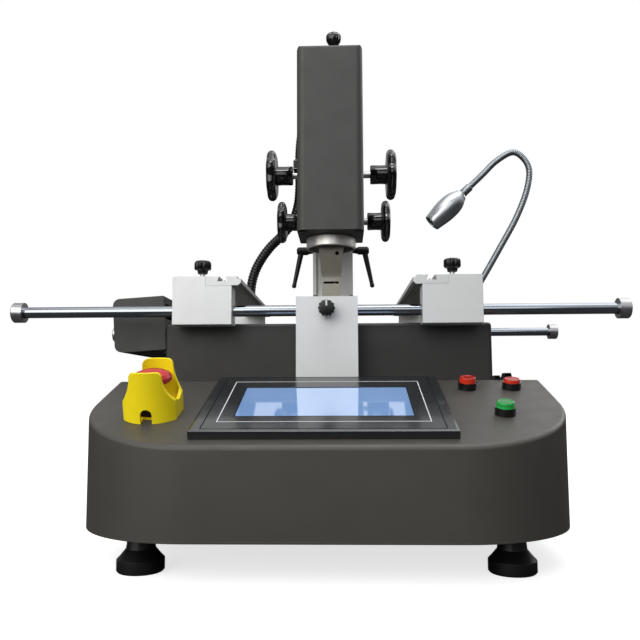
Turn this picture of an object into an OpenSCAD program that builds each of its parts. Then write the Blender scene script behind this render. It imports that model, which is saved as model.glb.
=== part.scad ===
// Bench rework station for ball-grid-array chips, in millimetres.
// X runs to the right of the operator, Y to the back, Z up, floor at Z = 0.
// The wedge base carries the screen, the preheater, the board table, the lamp
// and a column, on which the hot-air head is racked up, down, out and back.

/* [Base] */
// Width of the base over its side walls
base_w = 448; // [430:2:500]
// Depth of the base from front wall to rear panel
base_d = 572; // [560:2:640]
// Height of the base underside over the floor
foot_h = 35; // [30:1:45]
// Height of the front wall
front_h = 78; // [74:1:95]
// Length of the sloped deck, measured along the slope
deck_l = 188; // [184:1:200]
// Slope of the deck in degrees
deck_tilt = 17; // [13:0.5:20]
// Radius of the two front corners
corner_r = 110; // [90:2:130]
// Thickness of the base sheet
sheet_t = 2; // [1.5:0.5:3]
// Diameter of a levelling foot pad
foot_d = 42; // [34:1:50]

/* [Screen panel] */
// Width of the screen bezel
panel_w = 226.5; // [216:0.5:236]
// Length of the screen bezel along the slope
panel_l = 163; // [150:1:168]
// Height of the bezel over the deck
panel_h = 8; // [6:0.5:10]
// Width of the display glass
display_w = 158; // [140:1:170]
// Length of the display glass along the slope
display_l = 87; // [76:1:96]

/* [Controls] */
// Diameter of the emergency stop guard over its ears
guard_d = 57; // [55:1:61]
// Width of the guard over its flat sides
guard_w = 48; // [46:1:52]
// Height of the guard ears over the deck
guard_h = 46.5; // [44:0.5:52]
// Diameter of the mushroom head
mushroom_d = 36; // [32:1:38]
// Diameter of a push button cap
button_d = 16.2; // [14.4:0.2:16.4]

/* [Preheater] */
// Width of the preheater box
preheater_w = 361; // [340:1:380]
// Height of the preheater box over the base top
preheater_h = 64; // [58:1:66]

/* [Board table] */
// Diameter of the two guide rods
rod_d = 12; // [10:0.5:14]
// Length of a guide rod with its end caps
rod_l = 667; // [640:1:700]
// Height of the rod axes over the base top
rod_lift = 76; // [74:1:82]
// Diameter of an end cap
cap_d = 22; // [18:1:24]
// Width of a carriage block
block_w = 64; // [60:1:70]
// Height of a carriage block
block_h = 52; // [48:1:58]
// Clear width between the two clamp bars
board_gap = 184; // [160:2:220]
// Width of a clamp bar
bar_w = 38; // [34:1:42]
// Thickness of a clamp bar
bar_t = 10; // [8:0.5:12]

/* [Cooling fan] */
// Width of the fan box
fan_w = 59; // [52:1:64]
// Height of the fan box
fan_h = 62; // [54:1:66]
// Length of the fan box
fan_l = 210; // [160:2:220]

/* [Head] */
// Width of the head cover
head_w = 86; // [80:1:96]
// Depth of the head cover
head_d = 86; // [82:1:92]
// Height of the head cover
head_h = 246; // [230:2:280]
// Height of the head underside over the base top
head_lift = 193; // [188:1:215]
// Diameter of the nozzle ring
ring_d = 66; // [60:1:68]
// Width of the nozzle at the ring
nozzle_w = 35; // [28:1:36]
// Width of the nozzle at its mouth
mouth_w = 24; // [20:1:28]

/* [Column and drives] */
// Width of the column
column_w = 50; // [46:1:60]
// Height of the column over the base top
column_h = 422; // [410:2:460]
// Teeth of a drive pinion
pinion_n = 12; // [10:1:16]
// Diameter of the upper hand wheels
upper_wheel_d = 78; // [60:1:84]
// Diameter of the lower hand wheels
lower_wheel_d = 60; // [50:1:66]
// Thickness of a hand wheel rim
wheel_t = 14; // [10:1:18]

/* [Lamp] */
// Diameter of the lamp head
lamp_d = 36; // [28:1:42]
// Diameter of the gooseneck tube
neck_d = 10; // [7:0.5:11]

/* [Hidden] */
$fn = 64;
slip = 0.05;          // running fit of shafts and rods, on the radius
gap = 0.3;            // clear gap between moving pieces
front_y = -base_d / 2;
rear_y = base_d / 2;
front_z = foot_h + front_h;
top_z = front_z + deck_l * sin(deck_tilt);
deck_back_y = front_y + deck_l * cos(deck_tilt);
plate_t = 2;          // bottom plate
rear_t = 2;           // rear panel
foot_x = base_w / 2 - 61;
foot_in = 60;         // feet from the front and rear faces

// places along the slope, from the front edge, and across
panel_s = 14.7;
display_s = 36;
case_w = panel_w - 34;
case_l = panel_l - 34;
case_h = 34;
estop_gap = 16.25;    // stop guard beside the screen panel
estop_x = -panel_w / 2 - estop_gap - guard_d / 2;
estop_s = 81;
estop_travel = 4;
collar_d = 30;
stem_d = 12;
start_s = 77;
button_row_s = 157;
start_x = base_w / 2 - 60.5;
stop_x = base_w / 2 - 81;
light_x = base_w / 2 - 36.5;
bezel_d = button_d + 2.8;
bezel_h = 7.2;
button_shank_d = 16;
button_shank_l = 24;
button_stem_d = 8;
guard_side = 17.5;     // height of the guard's low sides

// board table
rod_z = top_z + rod_lift;
front_rod_y = deck_back_y + 6;
rear_rod_y = rear_y - 80;
front_rod_x = -10.5;
rear_rod_x = 2;
cap_l = 12;
cap_floor = 3;
post_w = 66;
post_d = 25;
post_over = 14;
block_d = 27;
block_under = 15.5;
block_z = rod_z - block_under;
bar_z = block_z + block_h - bar_t;
bar_over = 10;        // bar stands this far in from its blocks
bar_x = board_gap / 2;
block_in = bar_x + bar_over;
block_out = block_in + block_w;
lock_x = bar_x + bar_w + 6;
lock_d = 5;
knob_d = 18;
knob_h = 13;
knob_neck_h = 6;
slot_w = 11;
slot_h = 5.5;

// preheater
heater_wall = 1.5;
preheater_y0 = front_rod_y + 18;
preheater_y1 = rear_rod_y - 18;
preheater_top = top_z + preheater_h;
tray_z = top_z + 20;
tray_rim = 14;
tile_t = 14;
tile_gap = 6;
grille_h = 3;
grille_z = preheater_top - grille_h - 1;
bar_pitch = 14;

// head, column and drives
head_x = 2;
head_z = top_z + head_lift;
head_y0 = rear_rod_y - 185;
head_y1 = head_y0 + head_d;
cover_t = 1.5;
cover_r = 10;
cover_top_r = 6;
back_t = 4;
floor_t = 3;
nozzle_y = head_y1 - 31;
tube_d = 42;          // both hot-air heater tubes
column_y0 = rear_rod_y + 20;
column_d = 40;
column_wall = 4;
flange_t = 8;
module_m = 1.5;       // tooth size of racks and pinions
pinion_r = module_m * pinion_n / 2;
tooth_pitch = PI * module_m;
rack_w = 12;
rack_back = 14;       // rack pitch line from the column face
shaft_d = 10;
upper_y = column_y0 - rack_back - pinion_r;
upper_z = head_z + 126;
lift_y0 = head_y1 + 61;
lift_y1 = column_y0 - 13;
lift_z0 = head_z + 34;
lift_z1 = head_z + 151;
lift_half = 38;
rail_w = 12;
rail_t = 9;
rail_x = head_x - 14;
rack_x = head_x + 14;
cheek_t = 5.5;
cheek_z = head_z - 57;
lever_y = column_y0 + 12;
lever_z = head_z + 15;
lever_screw_d = 6;
lower_y = head_y1 + 33;
lower_z = head_z + 38;
beam_half = 20;
beam_z0 = lower_z + pinion_r + 2;
beam_h = 30;
beam_y0 = head_y1 + 2;
beam_socket = 22;
slide_l = 49;
slide_half = 34;
ring_h = 15;
ring_well = 8;         // depth of the wider mouth of the ring
nozzle_l = 65;
nozzle_straight = 26;  // straight part over the nozzle's mouth
nozzle_wall = 1.5;
pickup_x = head_x + 5;
pickup_d = 5;
pickup_top = head_z + head_h + 23;

// lamp, its neck runs through these points from the base top
lamp_y = rear_y - 30;
neck_base = [194, lamp_y, top_z + 16];
neck_route = [
  [194, lamp_y, top_z + 40], [198, lamp_y, top_z + 80],
  [210, lamp_y, top_z + 120], [236, lamp_y, top_z + 162],
  [266, lamp_y, top_z + 213], [295, lamp_y, top_z + 265],
  [313, lamp_y, top_z + 312], [315, lamp_y, top_z + 347],
  [294, lamp_y, top_z + 369], [266, lamp_y, top_z + 356],
  [242, lamp_y, top_z + 333]];
lamp_end = [221, lamp_y, top_z + 313];
lamp_turn = -133.6;

// A box between two corners.
module span(x, y, z) {
  translate([x[0], y[0], z[0]])
    cube([x[1] - x[0], y[1] - y[0], z[1] - z[0]]);
}

// A round bar along X, along Y and along Z.
module along_x(x, y, z, d) {
  translate([x[0], y, z])
    rotate([0, 90, 0])
      cylinder(d = d, h = x[1] - x[0]);
}

module along_y(x, y, z, d) {
  translate([x, y[0], z])
    rotate([-90, 0, 0])
      cylinder(d = d, h = y[1] - y[0]);
}

module along_z(x, y, z, d) {
  translate([x, y, z[0]])
    cylinder(d = d, h = z[1] - z[0]);
}

// Places a piece on the sloped deck, its own Z along the deck's normal.
module on_deck(x, s) {
  translate([x, front_y + s * cos(deck_tilt), front_z + s * sin(deck_tilt)])
    rotate([deck_tilt, 0, 0])
      children();
}

// Plan of the base, drawn in by a wall thickness.
module base_plan(inset, back) {
  r = corner_r - inset;
  cx = base_w / 2 - corner_r;
  cy = front_y + corner_r;
  for (side = [-1, 1])
    translate([side * cx, cy])
      circle(r = r, $fn = 128);
  translate([-cx, front_y + inset])
    square([2 * cx, corner_r]);
  translate([-base_w / 2 + inset, cy])
    square([base_w - 2 * inset, back - cy]);
}

// Side profile of the base, as Y and Z: front wall, sloped deck and flat top.
module base_profile(inset, back) {
  y0 = front_y + inset;
  rise = inset / cos(deck_tilt) - inset * tan(deck_tilt);
  z0 = front_z - rise;
  z1 = top_z - inset;
  fold_y = y0 + (z1 - z0) / tan(deck_tilt);
  polygon([[y0, 0], [back, 0], [back, z1], [fold_y, z1], [y0, z0]]);
}

module base_form(inset, back, z0) {
  intersection() {
    translate([0, 0, z0])
      linear_extrude(top_z - z0 + 1)
        base_plan(inset, back);
    rotate([90, 0, 90])
      translate([0, 0, -base_w])
        linear_extrude(2 * base_w)
          base_profile(inset, back);
  }
}

// Folded housing with a sloped deck, open below and behind.
module base_shell() {
  color([0.23, 0.22, 0.21])
  difference() {
    base_form(0, rear_y - rear_t, foot_h + plate_t);
    base_form(sheet_t, rear_y + 1, foot_h);
    on_deck(0, panel_s + panel_l / 2)
      span([-case_w / 2, case_w / 2], [-case_l / 2, case_l / 2], [-20, 20]);
    on_deck(estop_x, estop_s)
      along_z(0, 0, [-20, 20], collar_d - 8);
    for (b = [[start_x, start_s], [stop_x, button_row_s], [light_x, button_row_s]])
      on_deck(b[0], b[1])
        along_z(0, 0, [-20, 20], button_shank_d);
    along_z(head_x, nozzle_y, [top_z - 10, top_z + 10], tube_d + 20);
    along_z(gland_x, gland_y, [top_z - 10, top_z + 10], hose_d);
  }
}

module base_plate() {
  color([0.2, 0.2, 0.2])
  difference() {
    translate([0, 0, foot_h])
      linear_extrude(plate_t)
        base_plan(0, rear_y);
    for (x = [-140 : 20 : -40], y = [40, 110])
      span([x, x + 8], [y, y + 50], [foot_h - 1, foot_h + plate_t + 1]);
  }
}

inlet_x = 150;
inlet_z = foot_h + 48;
inlet_w = 50;
inlet_h = 30;
module rear_panel() {
  color([0.23, 0.22, 0.21])
  difference() {
    span([-base_w / 2, base_w / 2], [rear_y - rear_t, rear_y], [foot_h + plate_t, top_z]);
    span([inlet_x - inlet_w / 2 + 3, inlet_x + inlet_w / 2 - 3],
      [rear_y - 10, rear_y + 10], [inlet_z - inlet_h / 2 + 3, inlet_z + inlet_h / 2 - 3]);
    for (x = [-160 : 12 : -40])
      span([x, x + 5], [rear_y - 10, rear_y + 10], [foot_h + 40, foot_h + 100]);
  }
}

// Turned pad, neck and stud of each foot.
module levelling_feet() {
  color([0.08, 0.08, 0.08])
  for (x = [-foot_x, foot_x], y = [front_y + foot_in, rear_y - foot_in])
    translate([x, y, 0])
      rotate_extrude()
        polygon([[0, 0], [foot_d / 2 - 1.5, 0], [foot_d / 2, 1.5], [foot_d / 2, 11],
          [foot_d / 2 - 3, 14], [foot_d * 0.31, 20], [foot_d * 0.29, foot_h - 8],
          [9, foot_h - 8], [9, foot_h], [0, foot_h]]);
}

// Screen bezel with a sloped rim and the case behind it in one piece.
module hmi_panel() {
  rim_w = 2.5;
  rim_h = 1;
  w = panel_w / 2;
  l = panel_l / 2;
  h = panel_h - rim_h;
  color([0.1, 0.1, 0.11])
  on_deck(0, panel_s + l)
  difference() {
    union() {
      intersection() {
        rotate([90, 0, 0])
          translate([0, 0, -l])
            linear_extrude(2 * l)
              polygon([[-w, 0], [w, 0], [w, h], [w - rim_w, panel_h],
                [rim_w - w, panel_h], [-w, h]]);
        rotate([90, 0, 90])
          translate([0, 0, -w])
            linear_extrude(2 * w)
              polygon([[-l, 0], [l, 0], [l, h], [l - rim_w, panel_h],
                [rim_w - l, panel_h], [-l, h]]);
      }
      span([-case_w / 2, case_w / 2], [-case_l / 2, case_l / 2], [-case_h, 1]);
    }
    span([-display_w / 2, display_w / 2], [display_s - l, display_s - l + display_l],
      [panel_h - 2, panel_h + 1]);
  }
}

module hmi_screen() {
  color([0.15, 0.35, 0.75])
  on_deck(0, panel_s + panel_l / 2)
    span([-display_w / 2, display_w / 2],
      [display_s - panel_l / 2, display_s - panel_l / 2 + display_l],
      [panel_h - 2, panel_h - 0.4]);
}

// Right edge of the guard seen from the front, from its low side up to the ear.
function guard_edge(half) = concat(
  [for (k = [0 : 6]) let (u = k / 6)
    [half - 9.5 * (1 - (1 - u) * (1 - u)), guard_side + (guard_h - 5 - guard_side) * u]],
  [for (a = [15 : 15 : 90]) [half - 14.5 + 5 * cos(a), guard_h - 5 + 5 * sin(a)]]);

// Guard with a front and a rear ear, flat low sides and an arch at its foot.
module estop_guard() {
  wall = 3;
  half = guard_w / 2;
  edge = guard_edge(half);
  last = len(edge) - 1;
  dip_d = 36;
  color([0.95, 0.75, 0.05])
  on_deck(estop_x, estop_s)
  difference() {
    intersection() {
      cylinder(d = guard_d, h = guard_h);
      rotate([90, 0, 0])
        translate([0, 0, -guard_d])
          linear_extrude(2 * guard_d)
            polygon(concat([[-half, -1], [half, -1]], edge,
              [for (k = [last : -1 : 0]) [-edge[k][0], edge[k][1]]]));
    }
    intersection() {
      along_z(0, 0, [2, guard_h + 1], guard_d - 2 * wall);
      span([wall - half, half - wall], [-guard_d, guard_d], [2, guard_h + 1]);
    }
    along_z(0, 0, [-1, 3], collar_d + 0.6);
    along_x([-guard_d, guard_d], 0, guard_side - 2.5 + dip_d / 2, dip_d);
    along_y(0, [-guard_d, 0], 8, 10.4);
    span([-5.2, 5.2], [-guard_d, -collar_d / 2 - 2], [-1, 8]);
  }
}

// Collar on the deck and contact block below it.
module estop_base() {
  color([0.09, 0.09, 0.09])
  on_deck(estop_x, estop_s)
  difference() {
    union() {
      along_z(0, 0, [0, 12], collar_d);
      along_z(0, 0, [-6, 1], collar_d - 8 - 2 * gap);
      span([-17, 17], [-15, 15], [-48, -5]);
    }
    along_z(0, 0, [-16, 13], stem_d + 2 * gap);
  }
}

module estop_plunger() {
  color([0.12, 0.12, 0.12])
  on_deck(estop_x, estop_s)
    along_z(0, 0, [-16 + estop_travel + 2, 24], stem_d);
}

module estop_mushroom() {
  r = mushroom_d / 2;
  color([0.8, 0.06, 0.05])
  on_deck(estop_x, estop_s)
    rotate_extrude()
      polygon([[0, 24], [9, 24], [10, 28], [r - 2, 31], [r, 33], [r, 36], [r - 2, 39],
        [r * 0.6, 41], [0, 42]]);
}

// Black rings and shanks of the three push buttons.
module button_bezels() {
  color([0.07, 0.07, 0.07])
  for (b = [[start_x, start_s], [stop_x, button_row_s], [light_x, button_row_s]])
    on_deck(b[0], b[1])
    difference() {
      union() {
        along_z(0, 0, [0, bezel_h], bezel_d);
        along_z(0, 0, [-button_shank_l, 0.5], button_shank_d - 2 * gap);
      }
      along_z(0, 0, [1.5, bezel_h + 1], button_d + 2 * gap);
      along_z(0, 0, [-9, 2], button_stem_d + 2 * gap);
    }
}

// Domed cap on a stem; its rise is counted from the ring's top.
module button_cap(x, s, rise) {
  r = button_d / 2;
  top = bezel_h + rise;
  on_deck(x, s)
    rotate_extrude()
      polygon([[0, -5], [button_stem_d / 2, -5], [button_stem_d / 2, 5], [r, 5],
        [r, top - 1], [r - 0.4, top - 0.3], [r - 1.1, top], [r - 2, top],
        [r - 2.5, top - 0.5], [0, top - 0.2]]);
}

module start_button() {
  color([0.1, 0.65, 0.25])
    button_cap(start_x, start_s, 5.4);
}

module stop_button() {
  color([0.85, 0.1, 0.08])
    button_cap(stop_x, button_row_s, 5.4);
}

module light_button() {
  color([0.85, 0.1, 0.08])
    button_cap(light_x, button_row_s, 3.4);
}

// Two sockets for plug-in temperature probes, wider below and open to the front.
module sensor_sockets() {
  color([0.06, 0.06, 0.06])
  for (s = [[light_x - 7, 4.7, 2.6, 5], [light_x + 4, 5.8, 3.5, 7.6]])
    difference() {
      translate([s[0], deck_back_y + 15, top_z])
        rotate([90, 0, 0])
          linear_extrude(12)
            polygon([[-s[1], 0], [s[1], 0], [s[2], s[3]], [-s[2], s[3]]]);
      translate([s[0], deck_back_y + 11, top_z])
        rotate([90, 0, 0])
          linear_extrude(9)
            polygon([[1.6 - s[1], 1.2], [s[1] - 1.6, 1.2], [s[2] - 0.9, s[3] - 1.2],
              [0.9 - s[2], s[3] - 1.2]]);
    }
}

// Open box with a return flange round its top.
module preheater_box() {
  w = preheater_w / 2;
  flange = 6;
  color([0.2, 0.2, 0.2])
  difference() {
    span([-w, w], [preheater_y0, preheater_y1], [top_z, preheater_top]);
    span([-w + heater_wall, w - heater_wall],
      [preheater_y0 + heater_wall, preheater_y1 - heater_wall],
      [top_z + heater_wall, preheater_top - heater_wall]);
    span([-w + flange, w - flange], [preheater_y0 + flange, preheater_y1 - flange],
      [preheater_top - 10, preheater_top + 1]);
    along_z(head_x, nozzle_y, [top_z - 1, top_z + 10], tube_d + 8);
  }
}

// Bright pan under the heater tiles, on four folded feet.
module reflector_tray() {
  w = preheater_w / 2 - heater_wall - 6;
  y0 = preheater_y0 + heater_wall + 6;
  y1 = preheater_y1 - heater_wall - 6;
  color([0.75, 0.75, 0.76])
  difference() {
    union() {
      difference() {
        span([-w, w], [y0, y1], [tray_z, tray_z + tray_rim]);
        span([-w + 1, w - 1], [y0 + 1, y1 - 1], [tray_z + 1, tray_z + tray_rim + 1]);
      }
      for (x = [-w + 10, w - 22], y = [y0 + 10, y1 - 22])
        span([x, x + 12], [y, y + 12], [top_z + heater_wall, tray_z]);
    }
    along_z(head_x, nozzle_y, [tray_z - 1, tray_z + 10], tube_d + 4);
  }
}

// Six ceramic tiles round the hot-air nozzle, ribbed on top.
module ir_heaters() {
  w = preheater_w / 2 - heater_wall - 12.5;
  y0 = preheater_y0 + heater_wall + 10;
  y1 = preheater_y1 - heater_wall - 10;
  mid = tube_d / 2 + 13;
  tile_w = (w - mid - tile_gap * 2) / 2;
  z0 = tray_z + 1;
  color([0.85, 0.84, 0.8]) {
    for (side = [-1, 1], k = [0, 1])
      tile(side * (mid + tile_gap + tile_w / 2 + k * (tile_w + tile_gap)),
        [y0, y1], tile_w, z0);
    tile(0, [y0, nozzle_y - mid], 2 * mid - 4, z0);
    tile(0, [nozzle_y + mid, y1], 2 * mid - 4, z0);
  }
}

module tile(x, y, w, z0) {
  rib = 10;
  n = floor((y[1] - y[0] - 6) / rib);
  difference() {
    span([x - w / 2, x + w / 2], y, [z0, z0 + tile_t]);
    for (k = [0 : n - 1])
      span([x - w / 2 - 1, x + w / 2 + 1],
        [y[0] + 6 + k * rib, y[0] + 10 + k * rib], [z0 + tile_t - 3, z0 + tile_t + 1]);
  }
}

// Guard of steel bars in a frame, on posts from the tray rim.
module preheater_grille() {
  w = preheater_w / 2 - heater_wall - 6;
  y0 = preheater_y0 + heater_wall + 6;
  y1 = preheater_y1 - heater_wall - 6;
  n = floor((y1 - y0 - 8) / bar_pitch);
  z = [grille_z, grille_z + grille_h];
  color([0.62, 0.62, 0.63])
  difference() {
    union() {
      difference() {
        span([-w, w], [y0, y1], z);
        span([-w + 6, w - 6], [y0 + 6, y1 - 6], [grille_z - 1, grille_z + grille_h + 1]);
      }
      for (k = [1 : n])
        span([-w + 5, w - 5], [y0 + k * bar_pitch, y0 + k * bar_pitch + 3], z);
      for (x = [-w, w - 6], y = [y0, y1 - 6])
        span([x, x + 6], [y, y + 6], [tray_z + tray_rim, grille_z + 1]);
      difference() {
        along_z(head_x, nozzle_y, z, tube_d + 34);
        along_z(head_x, nozzle_y, [grille_z - 1, grille_z + 9], tube_d + 26);
      }
    }
    along_z(head_x, nozzle_y, [grille_z - 1, grille_z + 9], tube_d + 26);
  }
}

// Steel heater tube that rises from the base through the tray.
module lower_heater() {
  z0 = foot_h + plate_t + 14;
  color([0.7, 0.69, 0.66])
  difference() {
    union() {
      along_z(head_x, nozzle_y, [z0, preheater_top - 4], tube_d);
      along_z(head_x, nozzle_y, [z0 - 14, z0 + 4], tube_d + 24);
    }
    along_z(head_x, nozzle_y, [z0 + 40, preheater_top], tube_d - 6);
    along_x([head_x - tube_d, head_x], nozzle_y, z0 + 30, 28);
    along_z(head_x, nozzle_y, [z0 + 16, z0 + 44], tube_d - 10);
  }
}

// Square hot-air nozzle on the heater tube.
module lower_nozzle() {
  half = 18;
  z0 = preheater_top - 4;
  color([0.72, 0.72, 0.72])
  difference() {
    union() {
      along_z(head_x, nozzle_y, [z0, z0 + 6], tube_d + 10);
      span([head_x - half, head_x + half], [nozzle_y - half, nozzle_y + half], [z0 + 5, z0 + 28]);
    }
    span([head_x - half + 1.5, head_x + half - 1.5],
      [nozzle_y - half + 1.5, nozzle_y + half - 1.5], [z0 + 7, z0 + 30]);
    along_z(head_x, nozzle_y, [z0 - 1, z0 + 8], tube_d - 10);
    for (k = [-1 : 1])
      span([head_x + k * 9 - 2, head_x + k * 9 + 2],
        [nozzle_y - half - 1, nozzle_y + half + 1], [z0 + 22, z0 + 30]);
  }
}

// Centrifugal blower with its outlet pipe into the heater tube.
blower_x = head_x - 96;
blower_z = foot_h + plate_t;
module lower_blower() {
  pipe_z = blower_z + 44;
  color([0.1, 0.1, 0.1])
  difference() {
    union() {
      along_z(blower_x, nozzle_y, [blower_z, blower_z + 66], 96);
      along_x([blower_x, head_x - tube_d / 2 - 1], nozzle_y, pipe_z, 27);
    }
    along_z(blower_x, nozzle_y, [blower_z + 3, blower_z + 63], 88);
    along_z(blower_x, nozzle_y, [blower_z + 60, blower_z + 70], 40);
    along_x([blower_x, head_x], nozzle_y, pipe_z, 22);
  }
}

// Blocks that stand on the base and hold the rods.
module rod_posts() {
  color([0.82, 0.83, 0.84])
  for (y = [front_rod_y, rear_rod_y])
    difference() {
      span([-post_w / 2, post_w / 2], [y - post_d / 2, y + post_d / 2],
        [top_z, rod_z + post_over]);
      along_x([-post_w, post_w], y, rod_z, rod_d + 2 * slip);
      if (y == front_rod_y)
        along_y(0, [y - post_d, y], rod_z, lock_d + 2 * gap);
    }
}

module guide_rods() {
  inner = rod_l / 2 - cap_floor;
  color([0.8, 0.8, 0.82]) {
    along_x([front_rod_x - inner, front_rod_x + inner], front_rod_y, rod_z, rod_d);
    along_x([rear_rod_x - inner, rear_rod_x + inner], rear_rod_y, rod_z, rod_d);
  }
}

module rod_caps() {
  color([0.75, 0.75, 0.77])
  for (r = [[front_rod_x, front_rod_y], [rear_rod_x, rear_rod_y]], side = [-1, 1])
    translate([r[0] + side * rod_l / 2, r[1], rod_z])
      rotate([0, -side * 90, 0])
      difference() {
        union() {
          cylinder(d1 = cap_d - 2, d2 = cap_d, h = 1);
          along_z(0, 0, [1, cap_l], cap_d);
        }
        along_z(0, 0, [cap_floor, cap_l + 1], rod_d);
        along_x([-cap_d, 0], 0, cap_l / 2 + 1, 4);
      }
}

// The two blocks of one carriage, stepped on top for the clamp bar.
module blocks(side) {
  for (y = [front_rod_y, rear_rod_y])
    difference() {
      mirror([side < 0 ? 1 : 0, 0, 0])
        span([block_in, block_out], [y - block_d / 2, y + block_d / 2],
          [block_z, block_z + block_h]);
      mirror([side < 0 ? 1 : 0, 0, 0])
        span([block_in - 1, bar_x + bar_w], [y - block_d, y + block_d],
          [bar_z, bar_z + 2 * bar_t]);
      along_x([-base_w, base_w], y, rod_z, rod_d + 2 * slip);
      along_z(side * lock_x, y, [rod_z, block_z + block_h + 1], lock_d + 2 * gap);
    }
}

// Clamp bar with a dovetail groove and a ledge for the board's edge.
module clamp_bar(side) {
  y0 = front_rod_y - block_d / 2;
  y1 = rear_rod_y + block_d / 2;
  g = bar_x + bar_w / 2 + 1;
  h = slot_w / 2;
  mirror([side < 0 ? 1 : 0, 0, 0])
    translate([0, y1, bar_z])
      rotate([90, 0, 0])
        linear_extrude(y1 - y0)
          polygon([[bar_x + 3, 0], [bar_x + bar_w, 0], [bar_x + bar_w, bar_t],
            [g + h - 2, bar_t], [g + h, bar_t - slot_h], [g - h, bar_t - slot_h],
            [g - h + 2, bar_t], [bar_x + 4, bar_t], [bar_x + 4, bar_t - 2.5],
            [bar_x, bar_t - 2.5], [bar_x, 3]]);
}

// Scalloped knob with its screw; Z = 0 is where the screw ends.
module screw_knob(screw_l, d, h) {
  along_z(0, 0, [0, screw_l + 1], lock_d);
  along_z(0, 0, [screw_l - knob_neck_h, screw_l + 1], d * 0.55);
  translate([0, 0, screw_l])
    linear_extrude(h)
      difference() {
        circle(d = d);
        for (k = [0 : 7])
          rotate(k * 45)
            translate([d / 2 + 1.2, 0])
              circle(r = 2.4);
      }
}

module lock_knob(side) {
  z = rod_z + rod_d / 2 + gap;
  over = block_z + block_h + 1 - z;
  translate([side * lock_x, front_rod_y, z])
    screw_knob(over + knob_neck_h, knob_d, knob_h);
}

module left_blocks() {
  color([0.83, 0.84, 0.85])
    blocks(-1);
}

module left_bar() {
  color([0.86, 0.87, 0.88])
    clamp_bar(-1);
}

module left_lock_knob() {
  color([0.06, 0.06, 0.06])
    lock_knob(-1);
}

module right_blocks() {
  color([0.83, 0.84, 0.85])
    blocks(1);
}

module right_bar() {
  color([0.86, 0.87, 0.88])
    clamp_bar(1);
}

module right_lock_knob() {
  color([0.06, 0.06, 0.06])
    lock_knob(1);
}

module post_knob() {
  tip = rod_d / 2 + gap;
  color([0.06, 0.06, 0.06])
  translate([0, front_rod_y - tip, rod_z])
    rotate([90, 0, 0])
      screw_knob(post_d / 2 + 1 - tip + knob_neck_h, knob_d, knob_h - 3);
}

// Cross-flow fan box, rolled to blow up under the board, with its wall bracket.
fan_y0 = preheater_y0 + 23;
fan_roll = -3.7;
fan_off = 7;
fan_x = -preheater_w / 2 - fan_off - fan_w / 2;
fan_z = bar_z - fan_h / 2 - 5;
rotor_d = 38;
rotor_l = fan_l - 16;
module fan_housing() {
  w = fan_w / 2;
  h = fan_h / 2;
  r = 8;
  color([0.22, 0.22, 0.22]) {
    difference() {
      union() {
        translate([fan_x, fan_y0, fan_z])
          rotate([0, fan_roll, 0])
            rotate([-90, 0, 0])
              linear_extrude(fan_l)
                fan_outline(w, h, r);
        span([fan_x + w - 3, -preheater_w / 2], [fan_y0 + 10, fan_y0 + fan_l - 10],
          [top_z + 34, top_z + 58]);
      }
      translate([fan_x, fan_y0 + 1.5, fan_z])
        rotate([0, fan_roll, 0])
          rotate([-90, 0, 0])
            linear_extrude(fan_l - 3)
              fan_outline(w - 1.5, h - 1.5, r - 1.5);
      translate([fan_x, fan_y0, fan_z])
        rotate([0, fan_roll, 0]) {
          span([w - 5, w + 10], [8, fan_l - 8], [h - 26, h - 8]);
          for (k = [0 : 5])
            span([-w + 8, w - 16], [16 + k * 30, 34 + k * 30], [-h - 5, -h + 5]);
        }
    }
    for (y = [fan_y0, fan_y0 + fan_l - 5])
      translate([fan_x, y, fan_z])
        rotate([0, fan_roll, 0])
          along_y(-2, [1, 4], 0, 14);
  }
}

// Rounded on the outer side, square toward the board.
module fan_outline(w, h, r) {
  translate([-w, -h + r])
    square([2 * w, 2 * (h - r)]);
  translate([-w + r, -h])
    square([2 * w - r, 2 * h]);
  for (side = [-1, 1])
    translate([-w + r, side * (h - r)])
      circle(r = r);
}

// Drum of curved blades between end discs, on a shaft.
module fan_rotor() {
  color([0.7, 0.71, 0.72])
  translate([fan_x, fan_y0, fan_z])
    rotate([0, fan_roll, 0])
      translate([-2, (fan_l - rotor_l) / 2, 0])
        rotate([-90, 0, 0]) {
          for (z = [0, rotor_l / 2 - 1, rotor_l - 2])
            along_z(0, 0, [z, z + 2], rotor_d);
          along_z(0, 0, [-3, rotor_l + 3], 5);
          linear_extrude(rotor_l)
            for (k = [0 : 17])
              rotate(k * 20)
                translate([rotor_d / 2 - 5.4, 0])
                  rotate(28)
                    square([5, 0.9]);
        }
}

// Hollow column on a foot flange, closed on top.
module column() {
  w = column_w / 2;
  y1 = column_y0 + column_d;
  color([0.8, 0.8, 0.79])
  difference() {
    union() {
      span([head_x - w, head_x + w], [column_y0, y1], [top_z, top_z + column_h]);
      span([head_x - w - 20, head_x + w + 20], [column_y0 - 4, y1 + 8],
        [top_z, top_z + flange_t]);
    }
    span([head_x - w + column_wall, head_x + w - column_wall],
      [column_y0 + column_wall, y1 - column_wall],
      [top_z - 1, top_z + column_h - column_wall]);
    for (x = [-w - 12, w + 12], y = [column_y0 + 4, y1])
      along_z(head_x + x, y, [top_z - 1, top_z + flange_t + 1], 6.6);
  }
}

// Straight tooth profile: n teeth along X, pitch line at Y = 0, teeth toward +Y.
module rack(n, back) {
  tip = 0.85 * module_m;
  root = 1.2 * module_m;
  half = 0.61 * module_m;
  translate([-n * tooth_pitch / 2, -back])
    square([n * tooth_pitch, back - root + 0.1]);
  for (k = [0 : n - 1])
    translate([(k + 0.5 - n / 2) * tooth_pitch, 0])
      polygon([[-half - root * 0.36, -root], [half + root * 0.36, -root],
        [half - tip * 0.36, tip], [tip * 0.36 - half, tip]]);
}

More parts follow.
